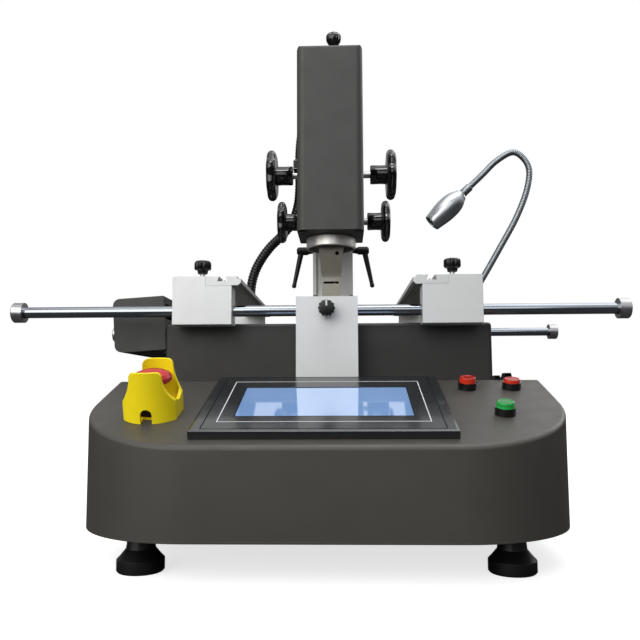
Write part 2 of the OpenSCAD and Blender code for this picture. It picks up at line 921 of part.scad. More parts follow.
// Pinion outline with one tooth toward +X.
module pinion() {
  tip = pinion_r + 0.85 * module_m;
  root = pinion_r - 1.2 * module_m;
  a0 = 1.5 / root * 180 / PI;
  a1 = 0.5 / tip * 180 / PI;
  step = 360 / pinion_n;
  polygon([for (k = [0 : pinion_n - 1], p = [[root, -a0], [tip, -a1], [tip, a1], [root, a0]])
    p[0] * [cos(k * step + p[1]), sin(k * step + p[1])]]);
}

// Vertical guide rail and the rack beside it, both on the column's face.
rail_z0 = head_z - 60;
rail_z1 = top_z + column_h - 4;
lift_rack_n = 2 * floor((rail_z1 - upper_z) / tooth_pitch);
module column_rails() {
  color([0.66, 0.67, 0.69]) {
    span([rail_x - rail_w / 2, rail_x + rail_w / 2], [column_y0 - rail_t, column_y0],
      [rail_z0, rail_z1]);
    translate([rack_x - rack_w / 2, column_y0 - rack_back, upper_z])
      rotate([90, 0, 90])
        linear_extrude(rack_w)
          rotate(90)
            rack(lift_rack_n, rack_back);
  }
}

// Carriage of the lift: runner on the rail, cheeks beside the column.
module lift_block() {
  h = lift_half;
  w = column_w / 2 + gap;
  color([0.78, 0.78, 0.77])
  difference() {
    union() {
      span([head_x - h, head_x + h], [lift_y0, lift_y1], [lift_z0, lift_z1]);
      span([rail_x - rail_w / 2 - 5, rail_x + rail_w / 2 + 2],
        [lift_y1 - 1, column_y0 - 2], [lift_z0, lift_z1]);
      for (side = [-1, 1])
        mirror([side < 0 ? 1 : 0, 0, 0]) {
          x0 = w + side * head_x;
          span([x0, x0 + cheek_t], [lift_y1 - 8, column_y0 + 26], [lift_z0, lift_z1]);
          span([x0, x0 + cheek_t], [column_y0 - 4, column_y0 + 26], [cheek_z, lift_z0 + 1]);
        }
      span([hose_x - clip_r, head_x - h + 1], [lift_y1 - 12, lift_y1 - 1],
        [lift_z1 - 14, lift_z1]);
      span([hose_x - clip_r, hose_x + clip_r], [lift_y1 - 6, hose_y + clip_r],
        [lift_z1 - 14, lift_z1]);
    }
    span([rail_x - rail_w / 2 - slip, rail_x + rail_w / 2 + slip],
      [column_y0 - rail_t - slip, column_y0 + 1], [lift_z0 - 1, lift_z1 + 1]);
    span([rack_x - rack_w / 2 - 1, rack_x + rack_w / 2 + 1],
      [column_y0 - rack_back - 3, column_y0 + 1], [lift_z0 - 1, lift_z1 + 1]);
    span([rack_x - rack_w / 2 - 1, rack_x + rack_w / 2 + 1],
      [upper_y - pinion_r - 3, column_y0], [upper_z - pinion_r - 3, upper_z + pinion_r + 3]);
    along_x([head_x - 60, head_x + 60], upper_y, upper_z, shaft_d + 2 * slip);
    span([head_x - beam_half, head_x + beam_half], [lift_y0 - 1, lift_y0 + beam_socket],
      [beam_z0, beam_z0 + beam_h]);
    along_x([head_x - 60, head_x + 60], lever_y, lever_z, lever_screw_d + 2 * gap);
    along_z(hose_x, hose_y, [lift_z1 - 20, lift_z1 + 1], hose_d);
  }
}

hose_d = 15;
hose_x = head_x - lift_half - 13;
hose_y = lift_y1 + 8;
clip_r = hose_d / 2 + 1.5;

// Cross shaft with its pinion in the middle of the block.
module pinion_shaft(x, px, y, z, toward) {
  along_x(x, y, z, shaft_d);
  translate([px - rack_w / 2, y, z])
    rotate([90, 0, 90])
      linear_extrude(rack_w)
        rotate(toward)
          pinion();
}

upper_left = hose_x - clip_r - 0.5;
upper_right = 2 * head_x - upper_left - 2;
lower_left = -43;
lower_right = 53;
hub_l = 18;
upper_hub_l = 20;
upper_hub_d = 29;
lower_hub_d = 25;
module upper_shaft() {
  color([0.72, 0.72, 0.74])
    pinion_shaft([upper_left - upper_hub_l, upper_right + upper_hub_l],
      rack_x, upper_y, upper_z, 0);
}

// Lobed hand wheel with its hub, bored for the shaft; hub face at Z = 0.
module hand_wheel(d, hub_d, hub, t) {
  r = d / 2;
  c = 4.5;
  lobes = 7;
  difference() {
    rotate_extrude()
      polygon([[0, 0], [hub_d / 2 - 1, 0], [hub_d / 2, 1], [hub_d / 2, hub],
        [r - c, hub], [r, hub + c], [r, hub + t - c], [r - c, hub + t],
        [r * 0.55, hub + t], [r * 0.45, hub + t - 3], [0, hub + t - 3]]);
    for (k = [0 : lobes - 1])
      rotate(k * 360 / lobes)
        along_z(r + 0.1 * d, 0, [hub - 1, hub + t + 1], 0.3 * d);
    along_z(0, 0, [-1, hub], shaft_d);
  }
}

module wheel_pair(left, right, y, z, d, hub_d, hub, t) {
  translate([left, y, z])
    rotate([0, -90, 0])
      hand_wheel(d, hub_d, hub, t);
  translate([right, y, z])
    rotate([0, 90, 0])
      hand_wheel(d, hub_d, hub, t);
}

module upper_wheels() {
  color([0.05, 0.05, 0.05])
    wheel_pair(upper_left, upper_right, upper_y, upper_z,
      upper_wheel_d, upper_hub_d, upper_hub_l, wheel_t + 4.5);
}

// Beam that stands out of the lift block, with the rack along its underside.
module slide_beam() {
  rear_n = floor((lift_y0 - lower_y) / tooth_pitch);
  front_n = floor((lower_y - beam_y0) / tooth_pitch);
  mid = lower_y + (rear_n - front_n) / 2 * tooth_pitch;
  color([0.74, 0.75, 0.76]) {
    span([head_x - beam_half, head_x + beam_half], [beam_y0, lift_y0 + beam_socket],
      [beam_z0, beam_z0 + beam_h]);
    translate([head_x - rack_w / 2, mid, lower_z + pinion_r])
      rotate([90, 0, 90])
        linear_extrude(rack_w)
          mirror([0, 1])
            rack(rear_n + front_n, 2.5);
  }
}

// Block on the head's back that runs on the beam.
module slide_block() {
  y1 = head_y1 + slide_l;
  z0 = lower_z - 19;
  z1 = beam_z0 + beam_h + 10;
  color([0.76, 0.77, 0.78])
  difference() {
    span([head_x - slide_half, head_x + slide_half], [head_y1, y1], [z0, z1]);
    span([head_x - beam_half - slip, head_x + beam_half + slip], [head_y1 - 1, y1 + 1],
      [beam_z0 - slip, beam_z0 + beam_h + slip]);
    span([head_x - rack_w / 2 - 1, head_x + rack_w / 2 + 1], [head_y1 - 1, y1 + 1],
      [lower_z + pinion_r - 3, beam_z0 + 1]);
    span([head_x - rack_w / 2 - 1, head_x + rack_w / 2 + 1],
      [lower_y - pinion_r - 3, lower_y + pinion_r + 3],
      [lower_z - pinion_r - 3, beam_z0 + 1]);
    along_x([head_x - 60, head_x + 60], lower_y, lower_z, shaft_d + 2 * slip);
  }
}

module lower_shaft() {
  color([0.72, 0.72, 0.74])
    pinion_shaft([lower_left - hub_l + 5, lower_right + hub_l], head_x, lower_y, lower_z, 90);
}

module lower_wheels() {
  color([0.05, 0.05, 0.05])
    wheel_pair(lower_left, lower_right, lower_y, lower_z, lower_wheel_d,
      lower_hub_d, hub_l, wheel_t);
}

// Cover bent from one sheet, round along its front edges and over its top.
module cover_form(inset) {
  w = head_w / 2 - inset;
  r = cover_r - inset;
  t = cover_top_r - inset;
  z1 = head_z + head_h - inset;
  y0 = head_y0 + inset;
  y1 = head_y1 + (inset > 0 ? 1 : 0);
  z0 = head_z - (inset > 0 ? 1 : 0);
  intersection() {
    translate([head_x, 0, z0])
      linear_extrude(z1 - z0) {
        translate([-w, y0 + r])
          square([2 * w, y1 - y0 - r]);
        translate([-w + r, y0])
          square([2 * (w - r), y1 - y0]);
        for (side = [-1, 1])
          translate([side * (w - r), y0 + r])
            circle(r = r);
      }
    translate([head_x, y1, 0])
      rotate([90, 0, 0])
        linear_extrude(y1 - y0) {
          translate([-w, z0])
            square([2 * w, z1 - t - z0]);
          translate([-w + t, z0])
            square([2 * (w - t), z1 - z0]);
          for (side = [-1, 1])
            translate([side * (w - t), z1 - t])
              circle(r = t);
        }
    rotate([90, 0, 90])
      translate([0, 0, head_x - w])
        linear_extrude(2 * w) {
          translate([y0, z0])
            square([y1 - y0, z1 - t - z0]);
          translate([y0 + t, z0])
            square([y1 - y0 - t, z1 - z0]);
          translate([y0 + t, z1 - t])
            circle(r = t);
        }
  }
}

module head_cover() {
  color([0.22, 0.22, 0.22])
  difference() {
    cover_form(0);
    cover_form(cover_t);
    along_z(pickup_x, nozzle_y, [head_z + head_h - 9, head_z + head_h + 9], pickup_d + 4);
  }
}

// Floor and back plate that carry everything in the head, with the hose spigot.
spigot_x = head_x - 24;
spigot_z = head_z + head_h - 46;
module head_chassis() {
  w = head_w / 2 - cover_t;
  y0 = head_y0 + cover_t;
  top = head_z + head_h - cover_top_r - 2;
  color([0.18, 0.18, 0.18])
  difference() {
    union() {
      span([head_x - w, head_x + w], [head_y1 - back_t, head_y1], [head_z, top]);
      span([head_x - w, head_x + w], [y0 + cover_r, head_y1], [head_z, head_z + floor_t]);
      span([head_x - w + cover_r, head_x + w - cover_r], [y0, y0 + cover_r + 1],
        [head_z, head_z + floor_t]);
      along_y(spigot_x, [head_y1 - 1, head_y1 + 9], spigot_z, hose_d + 6);
    }
    along_z(head_x, nozzle_y, [head_z - 1, head_z + floor_t + 1], tube_d - 6);
    along_y(spigot_x, [head_y1 - back_t - 1, head_y1 + 10], spigot_z, hose_d);
    span([head_x - beam_half - 1, head_x + beam_half + 1],
      [head_y1 - back_t - 1, head_y1 + 1], [lower_z + pinion_r - 3, beam_z0 + beam_h + 1]);
  }
}

// Top blower, on the back plate over the heater.
module head_blower() {
  z0 = head_z + 150;
  color([0.1, 0.1, 0.1])
  difference() {
    union() {
      along_z(head_x, nozzle_y - 4, [z0, z0 + 44], 62);
      span([head_x - 22, head_x + 22], [nozzle_y, head_y1 - back_t], [z0, z0 + 44]);
    }
    along_z(pickup_x, nozzle_y, [z0 - 1, z0 + 50], pickup_d + 2 * slip);
    along_z(head_x, nozzle_y - 4, [z0 + 30, z0 + 45], 40);
  }
}

// Heater tube that stands on the head's floor under the blower.
module head_heater() {
  z0 = head_z + floor_t;
  color([0.78, 0.77, 0.74])
  difference() {
    union() {
      along_z(head_x, nozzle_y, [z0, head_z + 150], tube_d);
      along_z(head_x, nozzle_y, [z0, z0 + 5], tube_d + 12);
    }
    along_z(head_x, nozzle_y, [z0 - 1, head_z + 151], tube_d - 6);
  }
}

// Bright ring under the head that the nozzle hangs in.
module nozzle_ring() {
  r = ring_d / 2;
  color([0.8, 0.8, 0.8])
  translate([head_x, nozzle_y, head_z - ring_h])
    rotate_extrude()
      polygon([[r - 3, 0], [r - 1, 0], [r, 1], [r, ring_h - 1], [r - 1, ring_h],
        [tube_d / 2 - 2, ring_h], [tube_d / 2 - 2, ring_h - 3], [r - 8, ring_h - 3],
        [r - 8, ring_well], [r - 3, ring_well]]);
}

// Tapered square nozzle under a round collar, slotted near its mouth.
module nozzle_form(a, b, z0, z1) {
  zs = -ring_h - nozzle_l + nozzle_straight;
  intersection() {
    rotate([90, 0, 0])
      translate([0, 0, -50])
        linear_extrude(100)
          polygon([[-b, z0], [b, z0], [b, zs], [a, z1], [-a, z1], [-b, zs]]);
    rotate([90, 0, 90])
      translate([0, 0, -50])
        linear_extrude(100)
          polygon([[-b, z0], [b, z0], [b, zs], [a, z1], [-a, z1], [-b, zs]]);
  }
}

module nozzle() {
  a = nozzle_w / 2;
  b = mouth_w / 2;
  top = -3;
  color([0.72, 0.68, 0.62])
  translate([head_x, nozzle_y, head_z])
  difference() {
    union() {
      nozzle_form(a, b, -ring_h - nozzle_l, -ring_h + ring_well - 0.5);
      along_z(0, 0, [-ring_h + ring_well - 2, top], ring_d - 16 - 2 * gap);
    }
    nozzle_form(a - nozzle_wall, b - nozzle_wall, -ring_h - nozzle_l - 0.01, -ring_h + ring_well - 3);
    along_z(0, 0, [-ring_h + ring_well - 5, top + 1], nozzle_w - 4);
    span([2 - b, b - 2], [-a, 0], [-ring_h - nozzle_l + 17, -ring_h - nozzle_l + 20]);
    along_y(8, [-a - 1, 0], -ring_h - 8, 5);
  }
}

// Vacuum tube through the head, with its soft tip at the bottom.
module pickup_tube() {
  z0 = head_z - ring_h - nozzle_l + 1;
  color([0.75, 0.75, 0.77]) {
    along_z(pickup_x, nozzle_y, [z0 + 8, pickup_top], pickup_d);
    translate([pickup_x, nozzle_y, z0])
      cylinder(d1 = 8, d2 = 5, h = 8);
  }
}

module pickup_knob() {
  color([0.05, 0.05, 0.05])
  translate([pickup_x, nozzle_y, pickup_top])
    linear_extrude(19)
      difference() {
        circle(d = knob_d + 1);
        for (k = [0 : 7])
          rotate(k * 45)
            translate([knob_d / 2 + 1.7, 0])
              circle(r = 2.4);
      }
}

// Clamp lever: screw in the cheek, tapered hub and a cranked arm.
module clamp_lever(side) {
  x0 = column_w / 2 + gap;
  x1 = x0 + cheek_t;
  translate([head_x, lever_y, lever_z])
    mirror([side < 0 ? 1 : 0, 0, 0]) {
      along_x([x0, x1 + 2], 0, 0, lever_screw_d);
      translate([x1 + gap, 0, 0])
        rotate([0, 90, 0]) {
          cylinder(d1 = 7.5, d2 = 10.5, h = 8);
          translate([0, 0, 8])
            cylinder(d = 12.6, h = 15);
          translate([0, 0, 23])
            cylinder(d1 = 12.6, d2 = 8, h = 2.5);
        }
      translate([x1 + 18.5, 0, 0])
        rotate([0, 168, 0]) {
          cylinder(d1 = 9, d2 = 6.2, h = 52);
          translate([0, 0, 52])
            cylinder(d1 = 6.2, d2 = 7.2, h = 5);
          translate([0, 0, 57])
            cylinder(d1 = 7.2, d2 = 4.4, h = 2.5);
        }
    }
}

module left_lever() {
  color([0.05, 0.05, 0.05])
    clamp_lever(-1);
}

module right_lever() {
  color([0.05, 0.05, 0.05])
    clamp_lever(1);
}

// Point at t on a smooth run through the route points.
function route_point(p, t) =
  let (n = len(p) - 1, i = min(floor(t * n), n - 1), u = t * n - i,
    a = p[max(i - 1, 0)], b = p[i], c = p[i + 1], d = p[min(i + 2, n)])
  0.5 * (2 * b + (c - a) * u + (2 * a - 5 * b + 4 * c - d) * u * u
    + (3 * b - a - 3 * c + d) * u * u * u);

function unit(v) = v / norm(v);

// Round tube of n sides swept along a route that lies in an XZ plane.
module neck_tube(route, d, n, rings) {
  pts = [for (k = [0 : rings]) route_point(route, k / rings)];
  dirs = [for (k = [0 : rings])
    unit(pts[min(k + 1, rings)] - pts[max(k - 1, 0)])];
  ring_pts = [for (k = [0 : rings], s = [0 : n - 1])
    let (side = cross(dirs[k], [0, 1, 0]), a = 360 * s / n)
    pts[k] + d / 2 * (cos(a) * side + sin(a) * [0, 1, 0])];
  walls = [for (k = [0 : rings - 1], s = [0 : n - 1])
    let (e = (s + 1) % n)
    [k * n + s, k * n + e, (k + 1) * n + e, (k + 1) * n + s]];
  caps = [[for (s = [0 : n - 1]) n - 1 - s], [for (s = [0 : n - 1]) rings * n + s]];
  polyhedron(points = ring_pts, faces = concat(walls, caps));
}

// Flexible metal neck from a foot on the base to the lamp.
module gooseneck() {
  color([0.75, 0.75, 0.76]) {
    along_z(neck_base[0], neck_base[1], [top_z, top_z + 6], neck_d + 15);
    along_z(neck_base[0], neck_base[1], [top_z + 5, top_z + 18], neck_d + 5);
    neck_tube(concat([neck_base], neck_route, [lamp_end]), neck_d, 12, 60);
  }
}

// Turned lamp head with a recessed mouth for the lens.
module lamp_head() {
  r = lamp_d / 2;
  color([0.82, 0.83, 0.84])
  translate(lamp_end)
    rotate([0, lamp_turn, 0])
      rotate_extrude()
        polygon([[0, 0], [neck_d / 2 + 2, 0], [neck_d / 2 + 2, 15], [neck_d / 2 + 1, 17],
          [r * 0.62, 26], [r * 0.88, 38], [r, 52], [r * 0.97, 64], [r * 0.78, 84],
          [r * 0.70, 84], [r * 0.72, 77], [0, 77]]);
}

module hose_gland() {
  color([0.07, 0.07, 0.07])
  translate([gland_x, gland_y, top_z])
    rotate_extrude()
      polygon([[hose_d / 2, 0], [hose_d / 2 + 7, 0], [hose_d / 2 + 7, 5],
        [hose_d / 2 + 4, 7], [hose_d / 2 + 3, 16], [hose_d / 2, 16]]);
}

gland_x = -127;
gland_y = rear_y - 44;

// Vented power supply on the bottom plate.
module power_supply() {
  z0 = foot_h + plate_t;
  color([0.68, 0.69, 0.7])
  difference() {
    span([60, 160], [-40, 158], [z0, z0 + 42]);
    for (k = [0 : 9])
      span([70, 150], [-24 + k * 17, -17 + k * 17], [z0 + 39, z0 + 43]);
  }
}

// Circuit board on pillars with its relays, heat sink and terminals.
module control_board() {
  z0 = foot_h + plate_t;
  z1 = z0 + 12;
  color([0.1, 0.35, 0.2])
  union() {
    span([-150, -10], [-150, -10], [z1, z1 + 1.6]);
    for (x = [-144, -16], y = [-144, -16])
      along_z(x, y, [z0, z1 + 0.5], 7);
    span([-140, -70], [-60, -20], [z1 + 1, z1 + 26]);
    for (k = [0 : 3])
      span([-60 + k * 12, -50 + k * 12], [-60, -36], [z1 + 1, z1 + 18]);
    span([-140, -30], [-146, -134], [z1 + 1, z1 + 14]);
    span([-110, -80], [-115, -85], [z1 + 1, z1 + 5]);
  }
}

// Mains inlet beside the switch window.
module power_inlet() {
  w = inlet_w / 2;
  h = inlet_h / 2;
  color([0.07, 0.07, 0.07])
  translate([inlet_x, rear_y, inlet_z]) {
    difference() {
      union() {
        span([-w, w], [0, 2.5], [-h, h]);
        span([-w + 3, w - 3], [-32, 1], [-h + 3, h - 3]);
      }
      span([-w + 5, -w + 27], [-20, 5], [-h + 6, h - 6]);
      span([-w + 30, w - 5], [-12, 5], [-h + 5, h - 5]);
    }
    along_x([-w + 29, w - 4], -3, 0, pivot_d);
  }
}

// Rocker in the inlet's window.
rocker_x = inlet_x + 12.5;
pivot_d = 2.4;
module mains_switch() {
  half = inlet_h / 2 - 6;
  color([0.09, 0.09, 0.09])
  translate([rocker_x - 6.8, rear_y - 3, inlet_z])
    rotate([90, 0, 90])
      linear_extrude(13.6)
        difference() {
          polygon([[-3, -half + 2.6], [3.6, -half + 0.8], [3.2, 0], [5.6, half - 0.8],
            [-3, half - 2.6]]);
          circle(d = pivot_d + 2 * slip);
        }
}

base_shell();
base_plate();
rear_panel();
levelling_feet();
hmi_panel();
hmi_screen();
estop_guard();
estop_base();
estop_plunger();
estop_mushroom();
button_bezels();
start_button();
stop_button();
light_button();
sensor_sockets();
preheater_box();
reflector_tray();
ir_heaters();
preheater_grille();
lower_heater();
lower_nozzle();
lower_blower();
rod_posts();
guide_rods();
rod_caps();
left_blocks();
left_bar();
left_lock_knob();
right_blocks();
right_bar();
right_lock_knob();
post_knob();
fan_housing();
fan_rotor();
column();
column_rails();
lift_block();
upper_shaft();
upper_wheels();
slide_beam();
slide_block();
lower_shaft();
lower_wheels();
head_cover();
head_chassis();
head_blower();
head_heater();
nozzle_ring();
nozzle();
pickup_tube();
pickup_knob();
left_lever();
right_lever();
gooseneck();
lamp_head();
hose_gland();
power_supply();
control_board();
power_inlet();
mains_switch();
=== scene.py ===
import math

import bmesh
import bpy
from mathutils import Matrix, Vector

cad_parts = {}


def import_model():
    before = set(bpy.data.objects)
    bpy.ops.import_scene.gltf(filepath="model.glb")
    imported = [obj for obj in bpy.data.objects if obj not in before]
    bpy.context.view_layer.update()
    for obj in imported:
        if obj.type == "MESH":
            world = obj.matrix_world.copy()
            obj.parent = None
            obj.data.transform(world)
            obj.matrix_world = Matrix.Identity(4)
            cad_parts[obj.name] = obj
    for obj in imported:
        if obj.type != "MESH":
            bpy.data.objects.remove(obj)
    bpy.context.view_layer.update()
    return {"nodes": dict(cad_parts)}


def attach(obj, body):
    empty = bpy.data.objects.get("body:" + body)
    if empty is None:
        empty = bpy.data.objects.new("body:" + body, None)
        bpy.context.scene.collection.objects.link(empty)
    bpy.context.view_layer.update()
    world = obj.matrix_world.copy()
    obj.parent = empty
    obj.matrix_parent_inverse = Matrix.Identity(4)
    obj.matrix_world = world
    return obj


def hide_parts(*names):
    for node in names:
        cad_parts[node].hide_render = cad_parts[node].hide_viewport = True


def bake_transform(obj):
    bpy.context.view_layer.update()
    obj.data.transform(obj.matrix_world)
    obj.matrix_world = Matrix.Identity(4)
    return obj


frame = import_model()
NODES = frame["nodes"]
scene = bpy.context.scene
MM = 0.001

# Sizes and places shared with the part's source, in millimetres
BASE_W = 448.0
FRONT_Y, REAR_Y = -286.0, 286.0
PLATE_Z, FRONT_Z = 35.0, 113.0
DECK_L, TILT = 188.0, math.radians(17)
CORNER_R = 110.0
TOP_Z = FRONT_Z + DECK_L * math.sin(TILT)
DECK_BACK_Y = FRONT_Y + DECK_L * math.cos(TILT)
FOOT_X, FOOT_IN = 163.0, 60.0
PANEL_W, PANEL_L, PANEL_H = 226.5, 163.0, 8.0
PANEL_S = 14.7
ESTOP_X, ESTOP_S = -158.0, 81.0
START_X, START_S = 163.5, 77.0
PREHEATER_W, PREHEATER_H = 361.0, 64.0
ROD_Z = TOP_Z + 76
FRONT_ROD_Y, REAR_ROD_Y = DECK_BACK_Y + 6, REAR_Y - 80
LOCK_X = 136.0
BLOCK_TOP_Z = ROD_Z + 36.5
SLOT_X, SLOT_Z = 112.0, ROD_Z + 31
HEAD_X = 2.0
HEAD_Z = TOP_Z + 193
HEAD_W, HEAD_D = 86.0, 86.0
HEAD_Y1 = REAR_ROD_Y - 185 + HEAD_D
NOZZLE_Y = HEAD_Y1 - 31
PICKUP_X, PICKUP_Z = HEAD_X + 5, HEAD_Z + 269
UPPER_Y, UPPER_Z = REAR_ROD_Y - 3, HEAD_Z + 126
LOWER_Y, LOWER_Z = HEAD_Y1 + 33, HEAD_Z + 38
FLANGE_T = 8.0
HOSE_R = 7.3
SPIGOT = Vector((HEAD_X - 24, HEAD_Y1 + 3, HEAD_Z + 200))
CLIP = Vector((HEAD_X - 51, REAR_ROD_Y + 15, HEAD_Z + 151))
GLAND = Vector((-127.0, REAR_Y - 44, TOP_Z + 6))
NECK_X, LAMP_Y = 194.0, REAR_Y - 30
NECK_ROUTE = [(NECK_X, 16), (NECK_X, 40), (198, 80), (210, 120), (236, 162), (266, 213), (295, 265),
              (313, 312), (315, 347), (294, 369), (266, 356), (242, 333), (221, 313)]
LAMP_R, LAMP_TURN = 18.0, math.radians(-133.6)

UP, DOWN, FRONT, BACK = (0, 0, 1), (0, 0, -1), (0, -1, 0), (0, 1, 0)
SIDES = (-1, 1)
BLACK, WHITE = (0, 0, 0), (1, 1, 1)


# Materials
def node(tree, kind, **values):
    """New shader node with values set on its sockets; an underscore in a name stands for a space."""
    made = tree.nodes.new("ShaderNode" + kind)
    for key, value in values.items():
        made.inputs[key.replace("_", " ")].default_value = value
    return made


def colour_ramp(tree, fac, stops):
    """Colour ramp over a factor, with stops of (position, colour)."""
    made = node(tree, "ValToRGB")
    elements = made.color_ramp.elements
    while len(elements) < len(stops):
        elements.new(0.5)
    for element, (position, colour) in zip(elements, stops):
        element.position = position
        element.color = (*colour, 1)
    tree.links.new(fac, made.inputs["Fac"])
    return made.outputs["Color"]


class Shade:
    """One procedural material: a Principled shader fed by noise in the piece's own coordinates."""

    def __init__(self, name, rough=0.5, metal=0.0, **sockets):
        self.material = bpy.data.materials.new(name)
        self.material.use_nodes = True
        self.tree = self.material.node_tree
        self.tree.nodes.clear()
        out = node(self.tree, "OutputMaterial")
        self.bsdf = node(self.tree, "BsdfPrincipled", Metallic=metal, Roughness=rough, **sockets)
        self.link(self.bsdf.outputs[0], out.inputs[0])
        self.coords = node(self.tree, "TexCoord").outputs["Object"]

    def link(self, output, socket):
        """Feed an output into a socket."""
        self.tree.links.new(output, socket)

    def noise(self, scale, detail=3.0, rough=0.5, vector=None):
        """Noise of so many cells to a metre, or along a stretched vector."""
        made = node(self.tree, "TexNoise", Scale=scale, Detail=detail, Roughness=rough)
        self.link(self.coords if vector is None else vector, made.inputs["Vector"])
        return made.outputs["Fac"]

    def lines(self, scale, detail, rough):
        """Noise stretched into lines by a scale for each axis."""
        made = node(self.tree, "Mapping", Scale=scale)
        self.link(self.coords, made.inputs["Vector"])
        return self.noise(1.0, detail, rough, made.outputs["Vector"])

    def voronoi(self, scale):
        """Distance to the middle of the nearest cell."""
        made = node(self.tree, "TexVoronoi", Scale=scale)
        self.link(self.coords, made.inputs["Vector"])
        return made.outputs["Distance"]

    def normal(self):
        """The way that the surface faces."""
        return node(self.tree, "NewGeometry").outputs["Normal"]

    def height(self, vector):
        """The Z of a vector."""
        made = node(self.tree, "SeparateXYZ")
        self.link(vector, made.inputs[0])
        return made.outputs["Z"]

    def ramp(self, fac, *stops):
        """Colour over a factor, with stops of (position, colour)."""
        return colour_ramp(self.tree, fac, stops)

    def mix(self, fac, a, b):
        """Mix of two colours; each of the three is an output or a plain value."""
        made = node(self.tree, "Mix")
        made.data_type = "RGBA"
        factor, first, second, mixed = made.inputs[0], made.inputs[6], made.inputs[7], made.outputs[2]
        for socket, value in ((factor, fac), (first, a), (second, b)):
            if isinstance(value, float):
                socket.default_value = value
            elif isinstance(value, tuple):
                socket.default_value = (*value, 1)
            else:
                self.link(value, socket)
        return mixed

    def spread(self, fac, low, high, start=0.3, end=0.7):
        """A factor from start to end, spread from low to high."""
        made = node(self.tree, "MapRange", From_Min=start, From_Max=end, To_Min=low, To_Max=high)
        self.link(fac, made.inputs["Value"])
        return made.outputs["Result"]

    def colour(self, out):
        """Set the colour to an output."""
        self.link(out, self.bsdf.inputs["Base Color"])

    def glow(self, out):
        """Set the colour of the emission to an output."""
        self.link(out, self.bsdf.inputs["Emission Color"])

    def roughness(self, out):
        """Set the roughness to an output."""
        self.link(out, self.bsdf.inputs["Roughness"])

    def bumped(self, *heights):
        """The material with bumps of (output, strength, distance in mm), fed one into the next."""
        last = None
        for height, strength, distance in heights:
            made = node(self.tree, "Bump", Strength=strength, Distance=distance * MM)
            self.link(height, made.inputs["Height"])
            if last is not None:
                self.link(last, made.inputs["Normal"])
            last = made.outputs["Normal"]
        self.link(last, self.bsdf.inputs["Normal"])
        return self.material


def tint(colour, share):
    """A colour made darker or paler."""
    return tuple(min(1.0, value * share) for value in colour)


def powder_coat(name, colour, rough):
    """Satin powder coat: fine orange peel, faint cloudiness and pale specks of dust."""
    shade = Shade(name, rough=rough, Specular_IOR_Level=0.4)
    base = shade.ramp(shade.noise(9, 4), (0.3, tint(colour, 0.93)), (0.7, tint(colour, 1.07)))
    speck = shade.ramp(shade.noise(2600, 1), (0.62, BLACK), (0.74, WHITE))
    shade.colour(shade.mix(speck, base, tint(colour, 1.35)))
    shade.roughness(shade.spread(shade.noise(38, 3), rough - 0.05, rough + 0.07))
    return shade.bumped((shade.noise(420, 2), 0.16, 0.25), (shade.noise(1500, 2), 0.10, 0.08))


def anodised(name, colour, rough, metal=1.0, grain=0.10):
    """Bead-blasted anodised aluminium or turned metal, with a fine grain."""
    shade = Shade(name, rough=rough, metal=metal)
    shade.colour(shade.ramp(shade.noise(14, 3), (0.3, tint(colour, 0.96)), (0.7, tint(colour, 1.02))))
    shade.roughness(shade.spread(shade.noise(60, 4), rough - 0.04, rough + 0.06))
    return shade.bumped((shade.noise(2200, 2), grain, 0.05))


def brushed_bar(name, colour, under, rough=0.38):
    """Anodised bar brushed along Y, with painted shade: faces that look down over the preheater are made
    darker.
    """
    shade = Shade(name, rough=rough, metal=0.25)
    body = shade.ramp(shade.noise(14, 3), (0.3, tint(colour, 0.96)), (0.7, tint(colour, 1.02)))
    # Painted shade: the under colour is mixed in on faces that look down.
    painted_shade_mask = shade.spread(shade.height(shade.normal()), 1.0, 0.0, start=-0.8, end=-0.2)
    shade.colour(shade.mix(painted_shade_mask, body, under))
    lines = shade.lines((900, 9, 900), 3, 0.6)
    shade.roughness(shade.spread(lines, rough - 0.06, rough + 0.08))
    return shade.bumped((shade.noise(2200, 2), 0.10, 0.05), (lines, 0.12, 0.05))


def ground_steel(name, colour, rough):
    """Ground and polished bar along X: very fine lines round it and faint handling smears."""
    shade = Shade(name, rough=rough, metal=1.0)
    lines = shade.lines((2600, 14, 14), 2, 0.5)
    smear = shade.noise(26, 4)
    shade.colour(shade.ramp(smear, (0.3, tint(colour, 0.94)), (0.75, colour)))
    shade.roughness(shade.mix(0.5, shade.spread(lines, rough - 0.03, rough + 0.05),
                              shade.spread(smear, rough - 0.02, rough + 0.05)))
    return shade.bumped((lines, 0.05, 0.02))


def moulded(name, colour, rough, coat=0.0, grain=0.05, pale=1.5, shine=0.5):
    """Moulded plastic: slight flow marks, skin grain and a little dust."""
    shade = Shade(name, rough=rough, Coat_Weight=coat, Coat_Roughness=0.08, Specular_IOR_Level=shine)
    base = shade.ramp(shade.noise(30, 3), (0.3, tint(colour, 0.95)), (0.7, tint(colour, 1.05)))
    dust = shade.ramp(shade.noise(1900, 2), (0.66, BLACK), (0.8, WHITE))
    shade.colour(shade.mix(dust, base, tint(colour, pale)))
    shade.roughness(shade.spread(shade.noise(24, 3), rough - 0.015, rough + 0.025))
    return shade.bumped((shade.noise(1300, 2), grain, 0.06))


def cap_with_painted_light(name, top, side):
    """Translucent button cap with painted light: deep top, a brighter side as if light left it there, and a
    faint painted glow.
    """
    shade = Shade(name, rough=0.22, Specular_IOR_Level=0.35, Transmission_Weight=0.1,
                  Emission_Strength=0.12)
    facing = node(shade.tree, "VectorMath")
    facing.operation = "DOT_PRODUCT"
    facing.inputs[1].default_value = (0, -math.sin(TILT), math.cos(TILT))
    shade.link(shade.normal(), facing.inputs[0])
    # Painted light: faces that turn away from the deck's normal take the brighter side colour.
    body = shade.ramp(facing.outputs["Value"], (0.15, side), (0.75, top))
    body = shade.mix(shade.spread(shade.noise(260, 3), 0.0, 0.16), body, side)
    shade.colour(body)
    # Painted glow: the cap's colours also feed its emission.
    shade.glow(body)
    return shade.bumped((shade.noise(700, 2), 0.04, 0.05))


